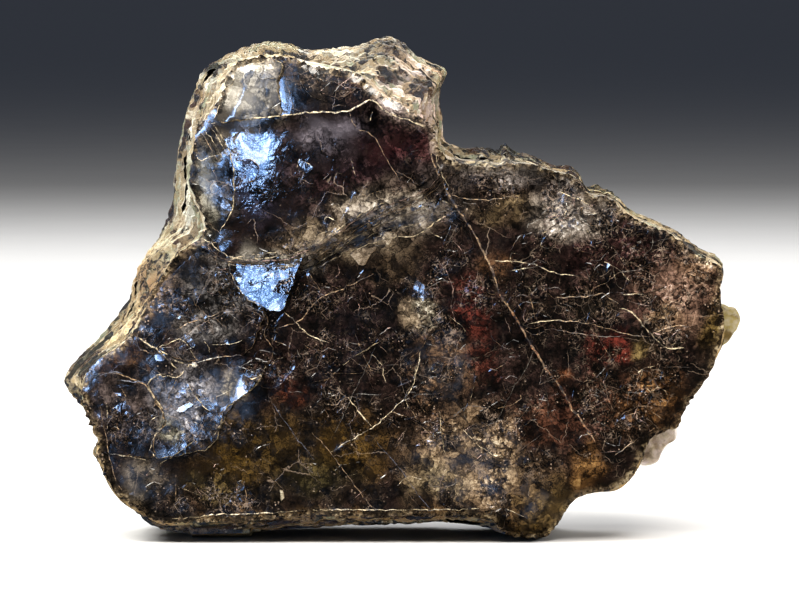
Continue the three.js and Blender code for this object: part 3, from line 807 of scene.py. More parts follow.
class Line:
    """A crack or ledge, or a streak of painted sheen: a thin ribbon, painted or not, beside which one side of
    the face is lifted.
    """

    def __init__(self, points, tone, width, rise=0, closed=False, wobble=0.5, reach=LIFT_REACH, smooth=True,
                 shown=1, strength=1):
        dense = curve_through(points, closed) if smooth else np.array(points + points[:1] * closed, float)
        length = np.hypot(*np.diff(dense[:, :2], axis=0).T).sum()
        line = at_equal_steps(dense, max(3, int(length / LINE_STEP) + 1))
        line[1:-1] += rng.normal(0, wobble, (len(line) - 2, 2))
        self.points = line[:-1] if closed else line
        self.closed = closed
        self.tone, self.width, self.rise, self.reach, self.strength = tone, width, rise, reach, strength
        count = len(self.points)
        start = rng.integers(count)
        self.painted = (np.arange(count) - start) % count < shown * count

    def edges(self):
        """The ribbon's two edges. It narrows to its ends unless it is closed."""
        count = len(self.points)
        if self.closed:
            along = np.roll(self.points, -1, axis=0) - np.roll(self.points, 1, axis=0)
            taper = np.ones(count)
        else:
            along = np.gradient(self.points, axis=0)
            from_end = np.minimum(np.arange(count), np.arange(count)[::-1])
            taper = np.clip(from_end / TAPER_POINTS + 0.25, 0, 1)
        along /= np.maximum(np.hypot(*along.T), 1e-9)[:, None]
        across = np.stack([-along[:, 1], along[:, 0]], axis=1)
        half = 0.5 * self.width * taper * rng.uniform(*WIDTH_SPREAD, count)
        return self.points + across * half[:, None], self.points - across * half[:, None]


class Shard:
    """A small broken plate on a face: its outline, how far it stands up, how it leans, and its glow."""

    def __init__(self, centre):
        self.centre = np.array(centre, float)
        size, stretch = rng.uniform(3, 11), rng.uniform(1, 2.6)
        count = rng.integers(4, 7)
        turns = (np.arange(count) + rng.uniform(-0.3, 0.3, count)) * 2 * math.pi / count
        lie = grain_direction()
        across, down = size * stretch * np.cos(turns), size * np.sin(turns)
        ring = [self.centre + (a * math.cos(lie) - d * math.sin(lie), a * math.sin(lie) + d * math.cos(lie))
                for a, d in zip(across, down)]
        self.line = Line(ring, rng.choice(SHARD_TONES), rng.uniform(0.3, 0.65), closed=True, wobble=0.35,
                         smooth=False, shown=rng.uniform(0.05, 0.35), strength=WORN)
        self.lift = rng.uniform(0.02, 0.16)
        self.lean = rng.normal(0, 0.006, 2)
        self.glow = rng.uniform(0.3, 2.1)

    def members(self, points):
        """The numbers of the points that are on the shard."""
        near = np.flatnonzero(np.abs(points - self.centre).max(1) < SHARD_REACH)
        return near[inside(points[near], self.line.points)]

    def raised(self, points):
        return np.maximum(self.lift + (points - self.centre) @ self.lean, -0.1)


class Face:
    """One of the book's two broad faces, inside a border, with lines, plates and a level for each point."""

    def __init__(self, border, lines, shards, patches, level_of, colour_of, gloss_of):
        self.border = border
        self.lines = lines + [shard.line for shard in shards]
        self.shards = shards
        self.patches = patches
        self.level_of = level_of
        self.colour_of = colour_of
        self.gloss_of = gloss_of

    def scatter(self):
        """Loose points inside the border, on a jittered grid."""
        low, high = self.border[:, :2].min(0), self.border[:, :2].max(0)
        xs, ys = (np.arange(low[k], high[k], GRID_UNITS) for k in (0, 1))
        grid = np.stack(np.meshgrid(xs, ys), axis=-1).reshape(-1, 2)
        grid += rng.uniform(-GRID_SHAKE, GRID_SHAKE, grid.shape) * GRID_UNITS
        grid = grid[inside(grid, self.border[:, :2])]
        return grid[self.clearance(grid) > KEEP_FROM_BORDER]

    def clearance(self, points):
        return to_line(points, closed_ring(self.border[:, :2]))[0]

    def mosaic(self):
        """Triangles between the border, the ribbons and the loose points, and the line of each polygon."""
        points = [self.border[:, :2]]
        count = len(self.border)
        polygons = [list(range(count))]
        owners = [None]
        for line in self.lines:
            both = np.concatenate(line.edges())
            safe = inside(both, self.border[:, :2]) & (self.clearance(both) > KEEP_FROM_BORDER)
            size = len(line.points)
            safe = safe[:size] & safe[size:]
            points.append(both)
            for k in range(size if line.closed else size - 1):
                after = (k + 1) % size
                quad = [size + k, size + after, after, k]
                if safe[k] and safe[after] and turns_left(both[quad]):
                    polygons.append([count + corner for corner in quad])
                    owners.append((line, line.strength * rng.choice(WEAR)) if line.painted[k] else None)
            keep = np.concatenate([safe, safe])
            points[-1][~keep] = points[-1][keep].mean(0) if keep.any() else self.border[:, :2].mean(0)
            count += 2 * size
        points.append(self.scatter())
        made = delaunay_2d_cdt([Vector(p) for p in np.concatenate(points)], [], polygons, 1, SAME_POINT, True)
        return made, owners

    def crumbled(self, points, colours):
        """The colours with pale crumbs close to the border."""
        near = 1 - smooth_step(self.clearance(points) / RIM_UNITS)
        share = near * rng.choice(RIM_SHARES, len(points))
        made = colours * (1 - share)[:, None] + np.append(linear(RIM_COLOUR), 1) * share[:, None]
        made[:, 3] = np.maximum(colours[:, 3], RIM_BROKEN * near)
        return made

    def build(self, mesh, border_vertices, facing):
        """Adds the face to the mesh that holds its border. It faces the viewer for -1 and away for 1."""
        made, owners = self.mosaic()
        flat, _, triangles, origins, _, triangle_origins = made
        flat = np.array([tuple(v) for v in flat])
        vertices = mesh.add_points(np.column_stack([flat, self.level_of(flat, self)]))
        for k, origin in enumerate(origins):
            on_border = [i for i in origin if i < len(self.border)]
            if on_border:
                vertices[k] = border_vertices[on_border[0]]
        colours = self.crumbled(flat, self.colour_of(flat))
        border_keeps = BORDER_GLOSS + (1 - BORDER_GLOSS) * smooth_step(self.clearance(flat) / BORDER_UNITS)
        gloss = self.gloss_of(flat) * border_keeps
        kept = [k for k, origin in enumerate(triangle_origins) if 0 in origin]
        centres = flat[np.array([triangles[k] for k in kept])].mean(1)
        glow = np.ones(len(kept))
        for shard in self.shards:
            glow[shard.members(centres)] = shard.glow
        painted = np.full(len(kept), -1)
        for number, (_, _, line) in enumerate(self.patches):
            painted[inside(centres, line.points)] = number
        for row, k in enumerate(kept):
            a, b, c = triangles[k]
            (ax, ay), (bx, by), (cx, cy) = flat[a], flat[b], flat[c]
            turn = (bx - ax) * (cy - ay) - (by - ay) * (cx - ax)
            order = [a, b, c] if turn * facing > 0 else [a, c, b]
            kind = "cleavage"
            lines = [owners[i] for i in triangle_origins[k] if owners[i]]
            if lines:
                kind = "veins_and_painted_light"
                line, strength = max(lines, key=lambda one: one[0].width)
                tints = [np.append(linear(TONES[line.tone]), strength)] * 3
            elif painted[row] >= 0:
                colour = self.patches[painted[row]][0]
                tints = [np.append(PATCH_GAIN * linear(colour), PATCH_ALPHA)] * 3
            else:
                tints = [colours[v] * (glow[row], glow[row], glow[row], 1) for v in order]
            mesh.add_face([vertices[v] for v in order], kind, tints, [gloss[v] for v in order])


def blend_zones(points, zones, base):
    """The face's colour at each point: soft zones laid over a base, one after another."""
    colour = np.tile(linear(base), (len(points), 1))
    for x, y, across, down, zone, strength in zones:
        share = (spot_share(points, x, y, across, down, COLOUR_POWER) * strength)[:, None]
        colour = colour * (1 - share) + linear(zone) * share
    return colour


def fractal_noise(points, size, seed, roughness=0.7):
    """Gentle unevenness from about -1 to 1, with features of a size."""
    return np.array([noise.fractal(Vector((x / size, y / size, seed)), roughness, 2.0, 3) for x, y in points])


def broken_at(points):
    """How broken the front face is at each point, in clumps."""
    broken = spotted(points, UNBROKEN, BROKEN, BROKEN_POWER)
    return broken * (0.25 + 1.1 * smooth_step(0.5 + 1.6 * fractal_noise(points, CLUMP_UNITS, 7, 0.8)))


def front_colour(points):
    size = WARP_UNITS
    warp = [[noise.noise(Vector((x / size, y / size, seed))) for seed in WARP_SEEDS] for x, y in points]
    warped = points + np.array(warp) * WARP_REACH
    return np.column_stack([blend_zones(warped, FACE_COLOURS, BODY_COLOUR), broken_at(points)])


def back_colour(points):
    broken = np.full(len(points), UNBROKEN)
    for _, outline in BACK_BREAKS.values():
        broken[inside(points, outline)] = BACK_BROKEN
    return np.column_stack([blend_zones(points, BACK_COLOURS, BODY_COLOUR), broken])


def front_gloss(points):
    return spotted(points, USUAL_GLOSS, GLOSS, GLOSS_POWER)


def back_gloss(points):
    return np.full(len(points), USUAL_GLOSS)


def lifted(points, lines):
    """How far the lines lift the points beside them: most at the line, and none at its reach or ends."""
    lift = np.zeros(len(points))
    for line in lines:
        low, high = line.points.min(0) - line.reach, line.points.max(0) + line.reach
        near = np.flatnonzero(((points > low) & (points < high)).all(1))
        if line.rise and len(near):
            gap, side, along = to_line(points[near], line.points)
            falloff = np.clip(1 - gap / line.reach, 0, 1) ** 2
            ends = smooth_step(np.minimum(along, 1 - along) * 5)
            lift[near] += (side == np.sign(line.rise)) * abs(line.rise) * falloff * ends
    return lift


def meet_border(points, levels, face):
    """Brings the levels down to the border's own level over a short way, so that the side meets them."""
    ring = closed_ring(face.border)
    gap, _, along = to_line(points, ring[:, :2])
    border = np.interp(along * len(face.border), np.arange(len(ring)), ring[:, 2])
    way = 4 + 7 * np.abs(levels - border)
    return border + (levels - border) * smooth_step(gap / way)


# Random cracks and shards

GRAIN_DEGREES = (-24, 60)
ACROSS_GRAIN = 0.4
CRACK_LEAST = -0.04
SHARD_LEAST = -0.08
CRACK_KINKS = [0.04, 0.1, 0.5]


def grain_direction():
    """A direction of breakage: mostly along one of the two that the big cracks follow."""
    if rng.random() < ACROSS_GRAIN:
        return rng.uniform(0, 2 * math.pi)
    return math.radians(rng.choice(GRAIN_DEGREES) + rng.normal(0, 13)) + math.pi * (rng.random() < 0.5)


def broken_walk(centre, length, kink):
    """Corners of a crack that runs from a place in short straight stretches."""
    heading, run = grain_direction(), 0
    points = [tuple(centre)]
    while run < length:
        stretch = rng.uniform(4, 15)
        heading += rng.normal(0, kink)
        run += stretch
        x, y = points[-1]
        points.append((x + stretch * math.cos(heading), y + stretch * math.sin(heading)))
    return points


def broken_places(border, count, least):
    """Places inside a border, most of them where the face is broken."""
    places = rng.uniform(border[:, :2].min(0), border[:, :2].max(0), (14 * count, 2))
    wanted = inside(places, border[:, :2]) & (rng.random(len(places)) < broken_at(places) + least)
    return places[wanted][:count]


def small_cracks(border, count, tones):
    """Small cracks all over a face, more where it is broken."""
    made = []
    for centre in broken_places(border, count, CRACK_LEAST):
        points = broken_walk(centre, 4 + rng.exponential(15), rng.choice(CRACK_KINKS))
        rise = rng.choice([-1, 1]) * rng.uniform(0.01, 0.09)
        made.append(Line(points, rng.choice(tones), rng.uniform(0.25, 0.55), rise, wobble=0.2,
                         reach=rng.uniform(5, 16), smooth=False, strength=WORN))
    return made


# The front face

LOBE_TONES = ["cream", "brown", "tan", "brown", "pink", "cream"]
FRONT_CRACKS = 140
FRONT_CRACK_TONES = ["cream", "tan", "tan", "brown", "brown", "brown", "brown", "pink", "grey"]
FRONT_SHARDS = 340
RAYS = {"x": 572, "y": 212, "count": 44, "inner": 3, "outer": 30}
RAY_TONES = ["cream", "pink", "white"]
RAY_LENGTH = 6


def lobe_lines():
    """The lobe's terraces, from its foot to its top: each a ragged line and the level inside it."""
    made = []
    for share, top, tone in zip(LOBE_TERRACES, LOBE_TERRACES[1:] + (1,), LOBE_TONES):
        points = []
        for foot_x, foot_y, top_x, top_y in LOBE_BORDER:
            wide, tall = top_x - foot_x, top_y - foot_y
            drift = rng.normal(0, TERRACE_DRIFT * math.hypot(wide, tall), 2)
            points.append((foot_x + wide * share + drift[0], foot_y + tall * share + drift[1]))
        level = FACE_LEVEL + (LOBE_LEVEL - FACE_LEVEL) * top
        made.append((level, Line(points, tone, 0.9, wobble=0.45, shown=0.75)))
    return made


def ray_lines(x, y, count, inner, outer):
    """Short bright rays round a point."""
    made = []
    for _ in range(count):
        turn = rng.uniform(0, 2 * math.pi)
        start, end = sorted(rng.uniform(inner, outer, 2))
        if end - start > RAY_LENGTH:
            way = np.array([math.cos(turn), 0.75 * math.sin(turn)])
            points = [np.array([x, y]) + way * r for r in (start, (start + end) / 2, end)]
            made.append(Line(points, rng.choice(RAY_TONES), 0.8, 0.05, reach=8))
    return made


def plate_lines():
    """The raised plates, each the three points of its plane and its outline, painted where it has a tone."""
    made = []
    for name, (three, outline) in PLATES.items():
        tone, shown = PLATE_TONES.get(name, "dark"), 0.6 * (name in PLATE_TONES)
        made.append((three, Line(outline, tone, 0.8, closed=True, wobble=0.7, shown=shown)))
    return made


def make_front(border):
    terraces = lobe_lines()
    plates = plate_lines()
    patches = [(colour, lift, Line(outline, "tan", 0.5, closed=True, wobble=0.5, smooth=False, shown=0.5))
               for colour, lift, outline in PATCHES.values()]
    fissure, rusty = (Line(points, tone, 2 * FISSURE_HALF_WIDTH, wobble=0.4)
                      for points, tone in ((FISSURE, "tan"), (FISSURE[RUSTY_FROM:], "rust")))
    raising = [Line(points, tone, LINE_THINNING * width, rise, wobble=0.45)
               for tone, width, rise, points in LINES]
    raising += ray_lines(**RAYS)
    raising += small_cracks(border, FRONT_CRACKS, FRONT_CRACK_TONES)
    shards = [Shard(centre) for centre in broken_places(border, FRONT_SHARDS, SHARD_LEAST)]
    lines = [piece[-1] for piece in terraces + plates + patches] + [fissure, rusty] + raising

    def level_of(points, face):
        levels = np.full(len(points), float(FACE_LEVEL))
        for three, line in plates:
            within = inside(points, line.points)
            levels[within] = np.maximum(levels, plane_level(points, three))[within]
        planes = np.array([plane_level(points, three) for three in LOBE_PLANES])
        top = -LOBE_SOFTNESS * np.log(np.exp(-planes / LOBE_SOFTNESS).sum(0))
        for level, line in terraces:
            within = inside(points, np.vstack([line.points, LOBE_SURROUND]))
            levels[within] = np.maximum(levels, np.minimum(top, level))[within]
        for _, lift, line in patches:
            levels[inside(points, line.points)] += lift
        for shard in shards:
            within = shard.members(points)
            levels[within] += shard.raised(points[within])
        levels += lifted(points, raising)
        levels += 0.07 * fractal_noise(points, 90, 1.5) + 0.03 * fractal_noise(points, 22, 4.5)
        gap, _, along = to_line(points, fissure.points)
        ends = smooth_step(np.minimum(along, 1 - along) * 8)
        levels -= FISSURE_DEPTH * ends * np.clip(1 - gap / (FISSURE_HALF_WIDTH * 1.6), 0, 1)
        return meet_border(points, levels, face)

    return Face(border, lines, shards, patches, level_of, front_colour, front_gloss)


# The back face

BACK_CRACKS = 200
BACK_CRACK_TONES = ["cream", "tan", "brown", "dark", "grey"]
LONG_CRACKS = [(300, 300), (420, 200), (520, 330), (250, 420), (380, 460), (330, 120)]
LONG_CRACK_UNITS = 190
STEP_CLEAR = 0.3


def make_back(border):
    steps = [(level, Line(outline, "cream", 1.4, closed=True, wobble=1.2, shown=0.8))
             for level, outline in BACK_BREAKS.values()]
    cracks = small_cracks(border, BACK_CRACKS, BACK_CRACK_TONES)
    cracks += [Line(broken_walk(centre, LONG_CRACK_UNITS, 0.15), "tan", 1.3, 0.15, smooth=False)
               for centre in LONG_CRACKS]

    def level_of(points, face):
        levels = np.full(len(points), float(BACK_LEVEL))
        for level, line in steps:
            levels[inside(points, line.points)] = level
        levels += lifted(points, cracks) * np.where(levels > BACK_LEVEL + STEP_CLEAR, -1, 1)
        levels += 0.1 * (1 + fractal_noise(points, 80, 8.5)) / 2
        return meet_border(points, levels, face)

    return Face(border, [line for _, line in steps] + cracks, [], [], level_of, back_colour, back_gloss)


# Shader building

MICA_IOR = 1.58


class Value:
    """A node's output. Arithmetic with a number, a tuple or another output adds a math node."""

    def __init__(self, shader, socket):
        self.shader = shader
        self.socket = socket

    def joined(self, operation, a, b):
        """A math node's output, or a vector math node's where one of the two values has three parts."""
        wide = [isinstance(v, tuple) or isinstance(v, Value) and v.socket.type != "VALUE" for v in (a, b)]
        if any(wide):
            a, b = ((v,) * 3 if isinstance(v, (int, float)) else v for v in (a, b))
        return self.shader.node("VectorMath" if any(wide) else "Math", {0: a, 1: b}, operation=operation)[0]

    def __add__(self, other):
        return self.joined("ADD", self, other)

    def __sub__(self, other):
        return self.joined("SUBTRACT", self, other)

    def __rsub__(self, other):
        return self.joined("SUBTRACT", other, self)

    def __mul__(self, other):
        return self.joined("MULTIPLY", self, other)

    def __truediv__(self, other):
        return self.joined("DIVIDE", self, other)

    __radd__ = __add__

    def most(self, other):
        return self.joined("MAXIMUM", self, other)

    def step(self, low, high, start=0.0, end=1.0):
        """Runs smoothly from start to end while this output runs from low to high."""
        return self.shader.node("MapRange", {"Value": self, "From Min": low, "From Max": high,
                                             "To Min": start, "To Max": end},
                                interpolation_type="SMOOTHSTEP")[0]

    def parts(self):
        """The three parts of a colour."""
        split = self.shader.node("SeparateColor", {0: self})
        return split[0], split[1], split[2]


class Node:
    """A shader node, whose outputs are read by name or number."""

    def __init__(self, shader, made):
        self.shader = shader
        self.made = made

    def __getitem__(self, key):
        return Value(self.shader, self.made.outputs[key])


class Shader:
    """A material and short calls for its nodes. An input is a number, a tuple or another node's output."""

    def __init__(self, name):
        self.material = bpy.data.materials.new(name)
        self.material.use_nodes = True
        self.tree = self.material.node_tree
        self.tree.nodes.clear()

    def node(self, kind, inputs=None, **settings):
        made = self.tree.nodes.new("ShaderNode" + kind)
        for key, value in settings.items():
            setattr(made, key, value)
        for key, value in (inputs or {}).items():
            if isinstance(value, Value):
                self.tree.links.new(value.socket, made.inputs[key])
            else:
                made.inputs[key].default_value = value
        return Node(self, made)

    def attribute(self, name):
        return self.node("Attribute", attribute_name=name, attribute_type="GEOMETRY")

    def places(self):
        """The object's own coordinates in millimetres."""
        return self.node("TexCoord")["Object"] * (1 / MM)

    def mix(self, share, a, b):
        """A colour between two, each a node's output or a screen colour from 0 to 255."""
        a, b = (rgba(v) if isinstance(v, tuple) else v for v in (a, b))
        return self.node("Mix", {0: share, 6: a, 7: b}, data_type="RGBA")[2]

    def noise_node(self, at, scale, detail=3.0, roughness=0.55, distortion=0.0):
        return self.node("TexNoise", {"Vector": at, "Scale": scale, "Detail": detail, "Roughness": roughness,
                                      "Distortion": distortion})

    def noise(self, *facts):
        """A number from 0 to 1."""
        return self.noise_node(*facts)[0]

    def wander(self, *facts):
        """A vector that wanders round zero."""
        return self.noise_node(*facts)["Color"] - 0.5

    def cells(self, at, scale, feature="F1"):
        return self.node("TexVoronoi", {"Vector": at, "Scale": scale}, feature=feature)

    def bump(self, height, strength, depth, **more):
        """A normal bent by a height that is up to depth millimetres."""
        return self.node("Bump", {"Height": height, "Strength": strength, "Distance": depth * MM, **more})[0]

    def finish(self, inputs):
        surface = self.node("BsdfPrincipled", inputs)
        self.node("OutputMaterial", {"Surface": surface[0]})
        return self.material


def rgba(colour):
    return (*linear(colour), 1.0)


# The mica's materials

def net(s, at, scale, width, patchy, threshold):
    """A net of thin broken lines, their half width in millimetres: 1 on a line and 0 off it."""
    gap = s.cells(at, scale, "DISTANCE_TO_EDGE")["Distance"]
    return gap.step(0.0, width * scale, 1.0, 0.0) * s.noise(at, patchy, 2).step(threshold, threshold + 0.06)


def crumbs(s, at, degrees, scale, threshold):
    """Small crumbs in patches, a little longer one way across the face: 1 on a crumb and 0 off it."""
    turned = s.node("VectorRotate", {"Vector": at, "Angle": math.radians(degrees)}, rotation_type="Y_AXIS")[0]
    field = s.noise(turned * (0.55, 1, 1), scale, 3, 0.75)
    return field.step(threshold, threshold + 0.04) * s.noise(at, 0.5, 4, 0.7).step(0.5, 0.62)


def specks_and_glints(s, at, broken):
    """Pale specks of many sizes, partly pale crumbs and partly painted glints of tiny facets, more of them
    where the face is broken: 1 on a speck and 0 off it.
    """
    cells = s.cells(at + s.wander(at, 4.0, 3, 0.7) * (0.3, 0.1, 0.3), 2.6)
    chance, size, _ = cells["Color"].parts()
    speck = (cells["Distance"] - size.step(0.0, 1.0, 0.08, 0.34)).step(-0.05, 0.02, 1.0, 0.0)
    common = chance + broken * 0.2 + s.noise(at, 0.35, 4, 0.6).step(0.4, 0.62, -0.16, 0.12)
    return speck * common.step(0.84, 1.02, 0.0, 0.9) * broken.step(0.0, 0.3, 0.2, 1.0)


def face_marks(s, flat, bent, eased, broken):
    """All that is pale on a cleavage face: long cracks, nets of fine ones, crumbs and specks, the specks
    partly painted glints.
    """
    cracked = (net(s, eased, 0.5, 0.03, 0.5, 0.5) * 0.6).most(net(s, eased, 1.3, 0.022, 0.8, 0.53) * 0.45)
    cracked = cracked.most(crumbs(s, flat, 24, 2.6, 0.58) * 0.55)
    cracked = cracked.most(crumbs(s, flat, -60, 1.9, 0.6) * 0.55)
    marks = (net(s, bent, 0.19, 0.04, 0.25, 0.52) * 0.5).most(cracked * (broken + 0.06))
    return marks.most(specks_and_glints(s, flat, broken))


def face_shade(s, bent, plates, chips, grain, broken, calm):
    """How light a cleavage face is: in plates, chips, flecks, clouds and grain, or plain where it is calm."""
    seam = s.cells(bent, 0.7, "DISTANCE_TO_EDGE")["Distance"].step(0.0, 0.05, 0.2, 1.0)
    cloud = s.noise(bent, 0.4, 6, 0.75).step(0.38, 0.6, 0.08, 1.5)
    fleck = s.cells(bent * (1, 1, 1.5), 4.2)["Color"].parts()[0]
    chipped = 1 + (broken + 0.1) * chips.parts()[1].step(0.2, 1.0, -0.8, 1.4)
    flecked = 1 + (broken + 0.2) * fleck.step(0.5, 0.95, -0.45, 0.8)
    shade = seam * plates.parts()[0].step(0.0, 1.0, 0.3, 1.8) * cloud
    shade = shade * chipped * flecked * grain.step(0.4, 0.62, 0.3, 1.6)
    return shade * (1 - calm) + calm * 0.85


def face_normal(s, flat, plates, chips, grain, marks, broken, gloss):
    """A cleavage face's normal: leaning plates and chips, and ripples, strongest where it is glossy."""
    lean = (plates - 0.5) * 0.06 + (chips - 0.5) * (broken * 0.16)
    normal = s.node("VectorMath", {0: s.node("NewGeometry")["Normal"] + lean}, operation="NORMALIZE")[0]
    ripple = s.noise(flat, 0.5, 3, 0.5, 0.8)
    swirl = s.noise(flat, 1.3, 2, 0.5, 1.2)
    height = ripple + swirl * gloss.step(0.75, 1.0, 0.1, 0.5) + grain * 0.04 + marks * -0.1
    return s.bump(height, gloss.step(0.75, 1.0, 0.45, 1.0), 0.16, Normal=normal)


def cleavage_material():
    """A dark glossy cleavage face, crackled and specked where the tint's alpha is high, the specks partly
    painted glints.
    """
    s = Shader("mica_cleavage")
    tint = s.attribute("tint")
    gloss = s.attribute("gloss")["Fac"]
    broken = tint["Alpha"].step(0.1, 0.75)
    calm = tint["Alpha"].step(0.0, 0.1, 0.75, 0.0)
    flat = s.places() * (1, 0.15, 1)
    drift = s.wander(flat, 0.6, 4, 0.65)
    bent = flat + drift * (1.5, 0.3, 1.5)
    plates = s.cells(bent, 0.7)["Color"]
    chips = s.cells(bent, 2.3)["Color"]
    grain = s.noise(flat, 2.4, 6, 0.85)
    body = tint["Color"] * face_shade(s, bent, plates, chips, grain, broken, calm)
    body = body / (body * 0.9 + 1)
    dust = s.noise(flat, 3.4, 5, 0.85).step(0.55, 0.62)
    body = s.mix(dust * (broken * 0.35), body, (140, 114, 92))
    marks = face_marks(s, flat, bent, flat + drift * (0.4, 0.1, 0.4), broken)
    mark_colour = s.mix(s.noise(flat, 0.8, 2), (226, 200, 176), (112, 84, 60))
    dull = s.noise(flat, 0.5, 4).step(0.35, 0.7, 0.8, 1.4) * gloss.step(0.0, 1.0, 0.4, 0.09)
    return s.finish({
        "Base Color": s.mix(marks, body, mark_colour), "Roughness": dull + marks * 0.3,
        "Normal": face_normal(s, flat, plates, chips, grain, marks, broken, gloss), "IOR": MICA_IOR,
        "Specular IOR Level": 0.5, "Coat Weight": 0.4, "Coat Roughness": 0.04, "Coat IOR": MICA_IOR,
    })


def crack_and_painted_light_material():
    """A crack's ribbon, some of them painted sheen or highlight: its tint, worn away in places, and more so
    where the tint's alpha is low.
    """
    s = Shader("mica_cracks_and_painted_light")
    tint = s.attribute("tint")
    at = s.places()
    patchy = s.noise(at, 1.3, 4, 0.75)
    fine = s.noise(at, 4.5, 4, 0.7)
    lit = tint["Color"] * (patchy.step(0.38, 0.62, 0.25, 1.15) * fine.step(0.38, 0.62, 0.3, 1.3))
    left = patchy + tint["Alpha"] * 0.16
    colour = s.mix(left.step(0.55, 0.6, 0.9, 0.0), lit, (30, 22, 19))
    return s.finish({"Base Color": colour, "Roughness": 0.45, "Normal": s.bump(fine, 0.5, 0.08),
                     "IOR": MICA_IOR})


def edge_material():
    """Sheet edges: thin streaks that follow the sheets, pale where they fray, with near-white streaks that
    are partly painted highlight, and dark in the gaps, partly painted shade between the sheets.
    """
    s = Shader("mica_sheet_edges")
    tint = s.attribute("tint")
    at = s.places()
    along = at + s.wander(at, 0.22, 3) * (0, 1.2, 0)
    bands = s.noise(along * (0.2, 0.55, 0.2), 1.0, 5, 0.75)
    streaks = s.noise(along * (0.24, 1.6, 0.24), 1.0, 4, 0.65)
    lamina = s.noise(along * (0.4, 6.0, 0.4), 1.0, 3, 0.6)
    grit = s.noise(at * (1, 1.6, 1), 2.4, 6, 0.85)
    splinter = s.cells(along * (0.9, 3.5, 0.9), 1.0)["Color"].parts()[0]
    hue = s.noise(along * (0.12, 0.9, 0.12), 1.0, 3)
    lit = bands * 0.3 + streaks * 0.22 + lamina * 0.08 + grit * 0.32 + splinter * 0.12
    share = (lit - (0.63 - tint["Alpha"] * 0.22)).step(-0.02, 0.03)
    warm = s.mix(hue.step(0.42, 0.58), (64, 40, 22), (52, 50, 28))
    # The near-black is partly the sheets' own dark brown and partly painted shade in the gaps between them.
    dark = s.mix(lamina.step(0.42, 0.58), (16, 12, 9), warm)
    pale_and_highlight = s.mix(hue.step(0.5, 0.6), tint["Color"], (150, 156, 132))
    pale_and_highlight = s.mix(bands.step(0.48, 0.56, 0.7, 0.0), pale_and_highlight, (172, 148, 108))
    # The near-white laminae are partly pale frayed mica and partly painted highlight.
    pale_and_highlight = s.mix(lamina.step(0.56, 0.72, 0.0, 0.7), pale_and_highlight, (252, 250, 234))
    pale_and_highlight = s.mix(grit.step(0.52, 0.6, 0.0, 0.75), pale_and_highlight, (112, 84, 50))
    return s.finish({"Base Color": s.mix(share, dark, pale_and_highlight), "Roughness": grit.step(0.3, 0.7, 0.2, 0.5),
                     "Normal": s.bump(lamina + grit * 0.8, 1.0, 0.18), "IOR": MICA_IOR})


def flake_material(name, colour, transmission):
    """A see-through flake with a faint veil and brown streaks along its sheets."""
    s = Shader(name)
    at = s.places()
    streak = s.noise(at * (0.5, 6, 0.5), 1.0, 4, 0.6)
    body = s.mix(s.noise(at, 1.4, 4, 0.6).step(0.35, 0.7), colour, (236, 228, 206))
    body = s.mix(streak.step(0.52, 0.68, 0.0, 0.8), body, (120, 92, 46))
    return s.finish({"Base Color": body, "Roughness": 0.16, "Normal": s.bump(streak, 0.5, 0.1),
                     "IOR": MICA_IOR, "Transmission Weight": transmission})


# The edge flakes: thin see-through sheets that stand past the rim

FLAKES = {
    "yellow_flake": ((214, 198, 130), 0.55, (0.92, 1.78),
        [(704, 302), (722, 303), (729, 306), (736, 307), (740, 314), (739, 323), (735, 331), (727, 343),
         (712, 351), (704, 340)]),
    "clear_flake": ((244, 236, 236), 0.75, (-1.58, -0.82),
        [(634, 461), (641, 468), (653, 468), (660, 463), (664, 454), (670, 446), (679, 440), (677, 427),
         (660, 420), (642, 431), (628, 446)]),
}
FLAKE_SHEETS = 3
FLAKE_GAP = 0.05
FLAKE_POINTS = 60
SHEET_SHRINK = 0.07
FLAKE_FRAY = 0.05


def make_flake(name, colour, transmission, levels, outline):
    """A few see-through sheets, one on another, each with its own ragged outline."""
    points, faces = [], []
    low, high = levels
    count = FLAKE_POINTS
    thickness = (high - low - FLAKE_GAP * (FLAKE_SHEETS - 1)) / FLAKE_SHEETS
    centre = np.mean(outline, axis=0)
    for k in range(FLAKE_SHEETS):
        ring = at_equal_steps(curve_through(outline, closed=True), count + 1)[:-1]
        fray = FLAKE_FRAY * np.abs(np.clip(loop_noise(count, 2.2), -2, 2))
        ring = centre + (ring - centre) * (1 - SHEET_SHRINK * k - fray)[:, None]
        bottom = low + k * (thickness + FLAKE_GAP)
        wave = np.clip(0.03 * loop_noise(count, 9), 0, 0.04)
        start = len(points)
        points += [(x, y, bottom + w) for (x, y), w in zip(ring, wave)]
        points += [(x, y, bottom + thickness) for x, y in ring]
        faces.append(list(range(start, start + count)))
        faces.append(list(range(start + 2 * count - 1, start + count - 1, -1)))
        for i in range(start, start + count):
            after = start + (i + 1 - start) % count
            faces.append([i, i + count, after + count, after])
    data = bpy.data.meshes.new(name)
    data.from_pydata(to_metres(points).tolist(), [], faces)
    data.materials.append(flake_material(name, colour, transmission))
    return new_object(name, data)


# The whole book

def finish_piece(piece):
    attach(piece, "root")
    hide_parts("mica_book")


def make_book():
    """The book as two closed pieces that meet at one sheet, so that neither mesh is too large."""
    back_half, front_half = BookMesh(), BookMesh()
    side = BookSide()
    back, front = side.build(back_half, front_half)
    make_back(side.back).build(back_half, back, 1)
    make_front(side.front).build(front_half, front, -1)
    materials = {"cleavage": cleavage_material(), "veins_and_painted_light": crack_and_painted_light_material(), "edges": edge_material()}
    finish_piece(back_half.to_object("mica_back_sheets", materials))
    finish_piece(front_half.to_object("mica_front_sheets", materials))


make_book()
for flake_name, facts in FLAKES.items():
    finish_piece(make_flake(flake_name, *facts))


# The stage: camera, lights, floor and world

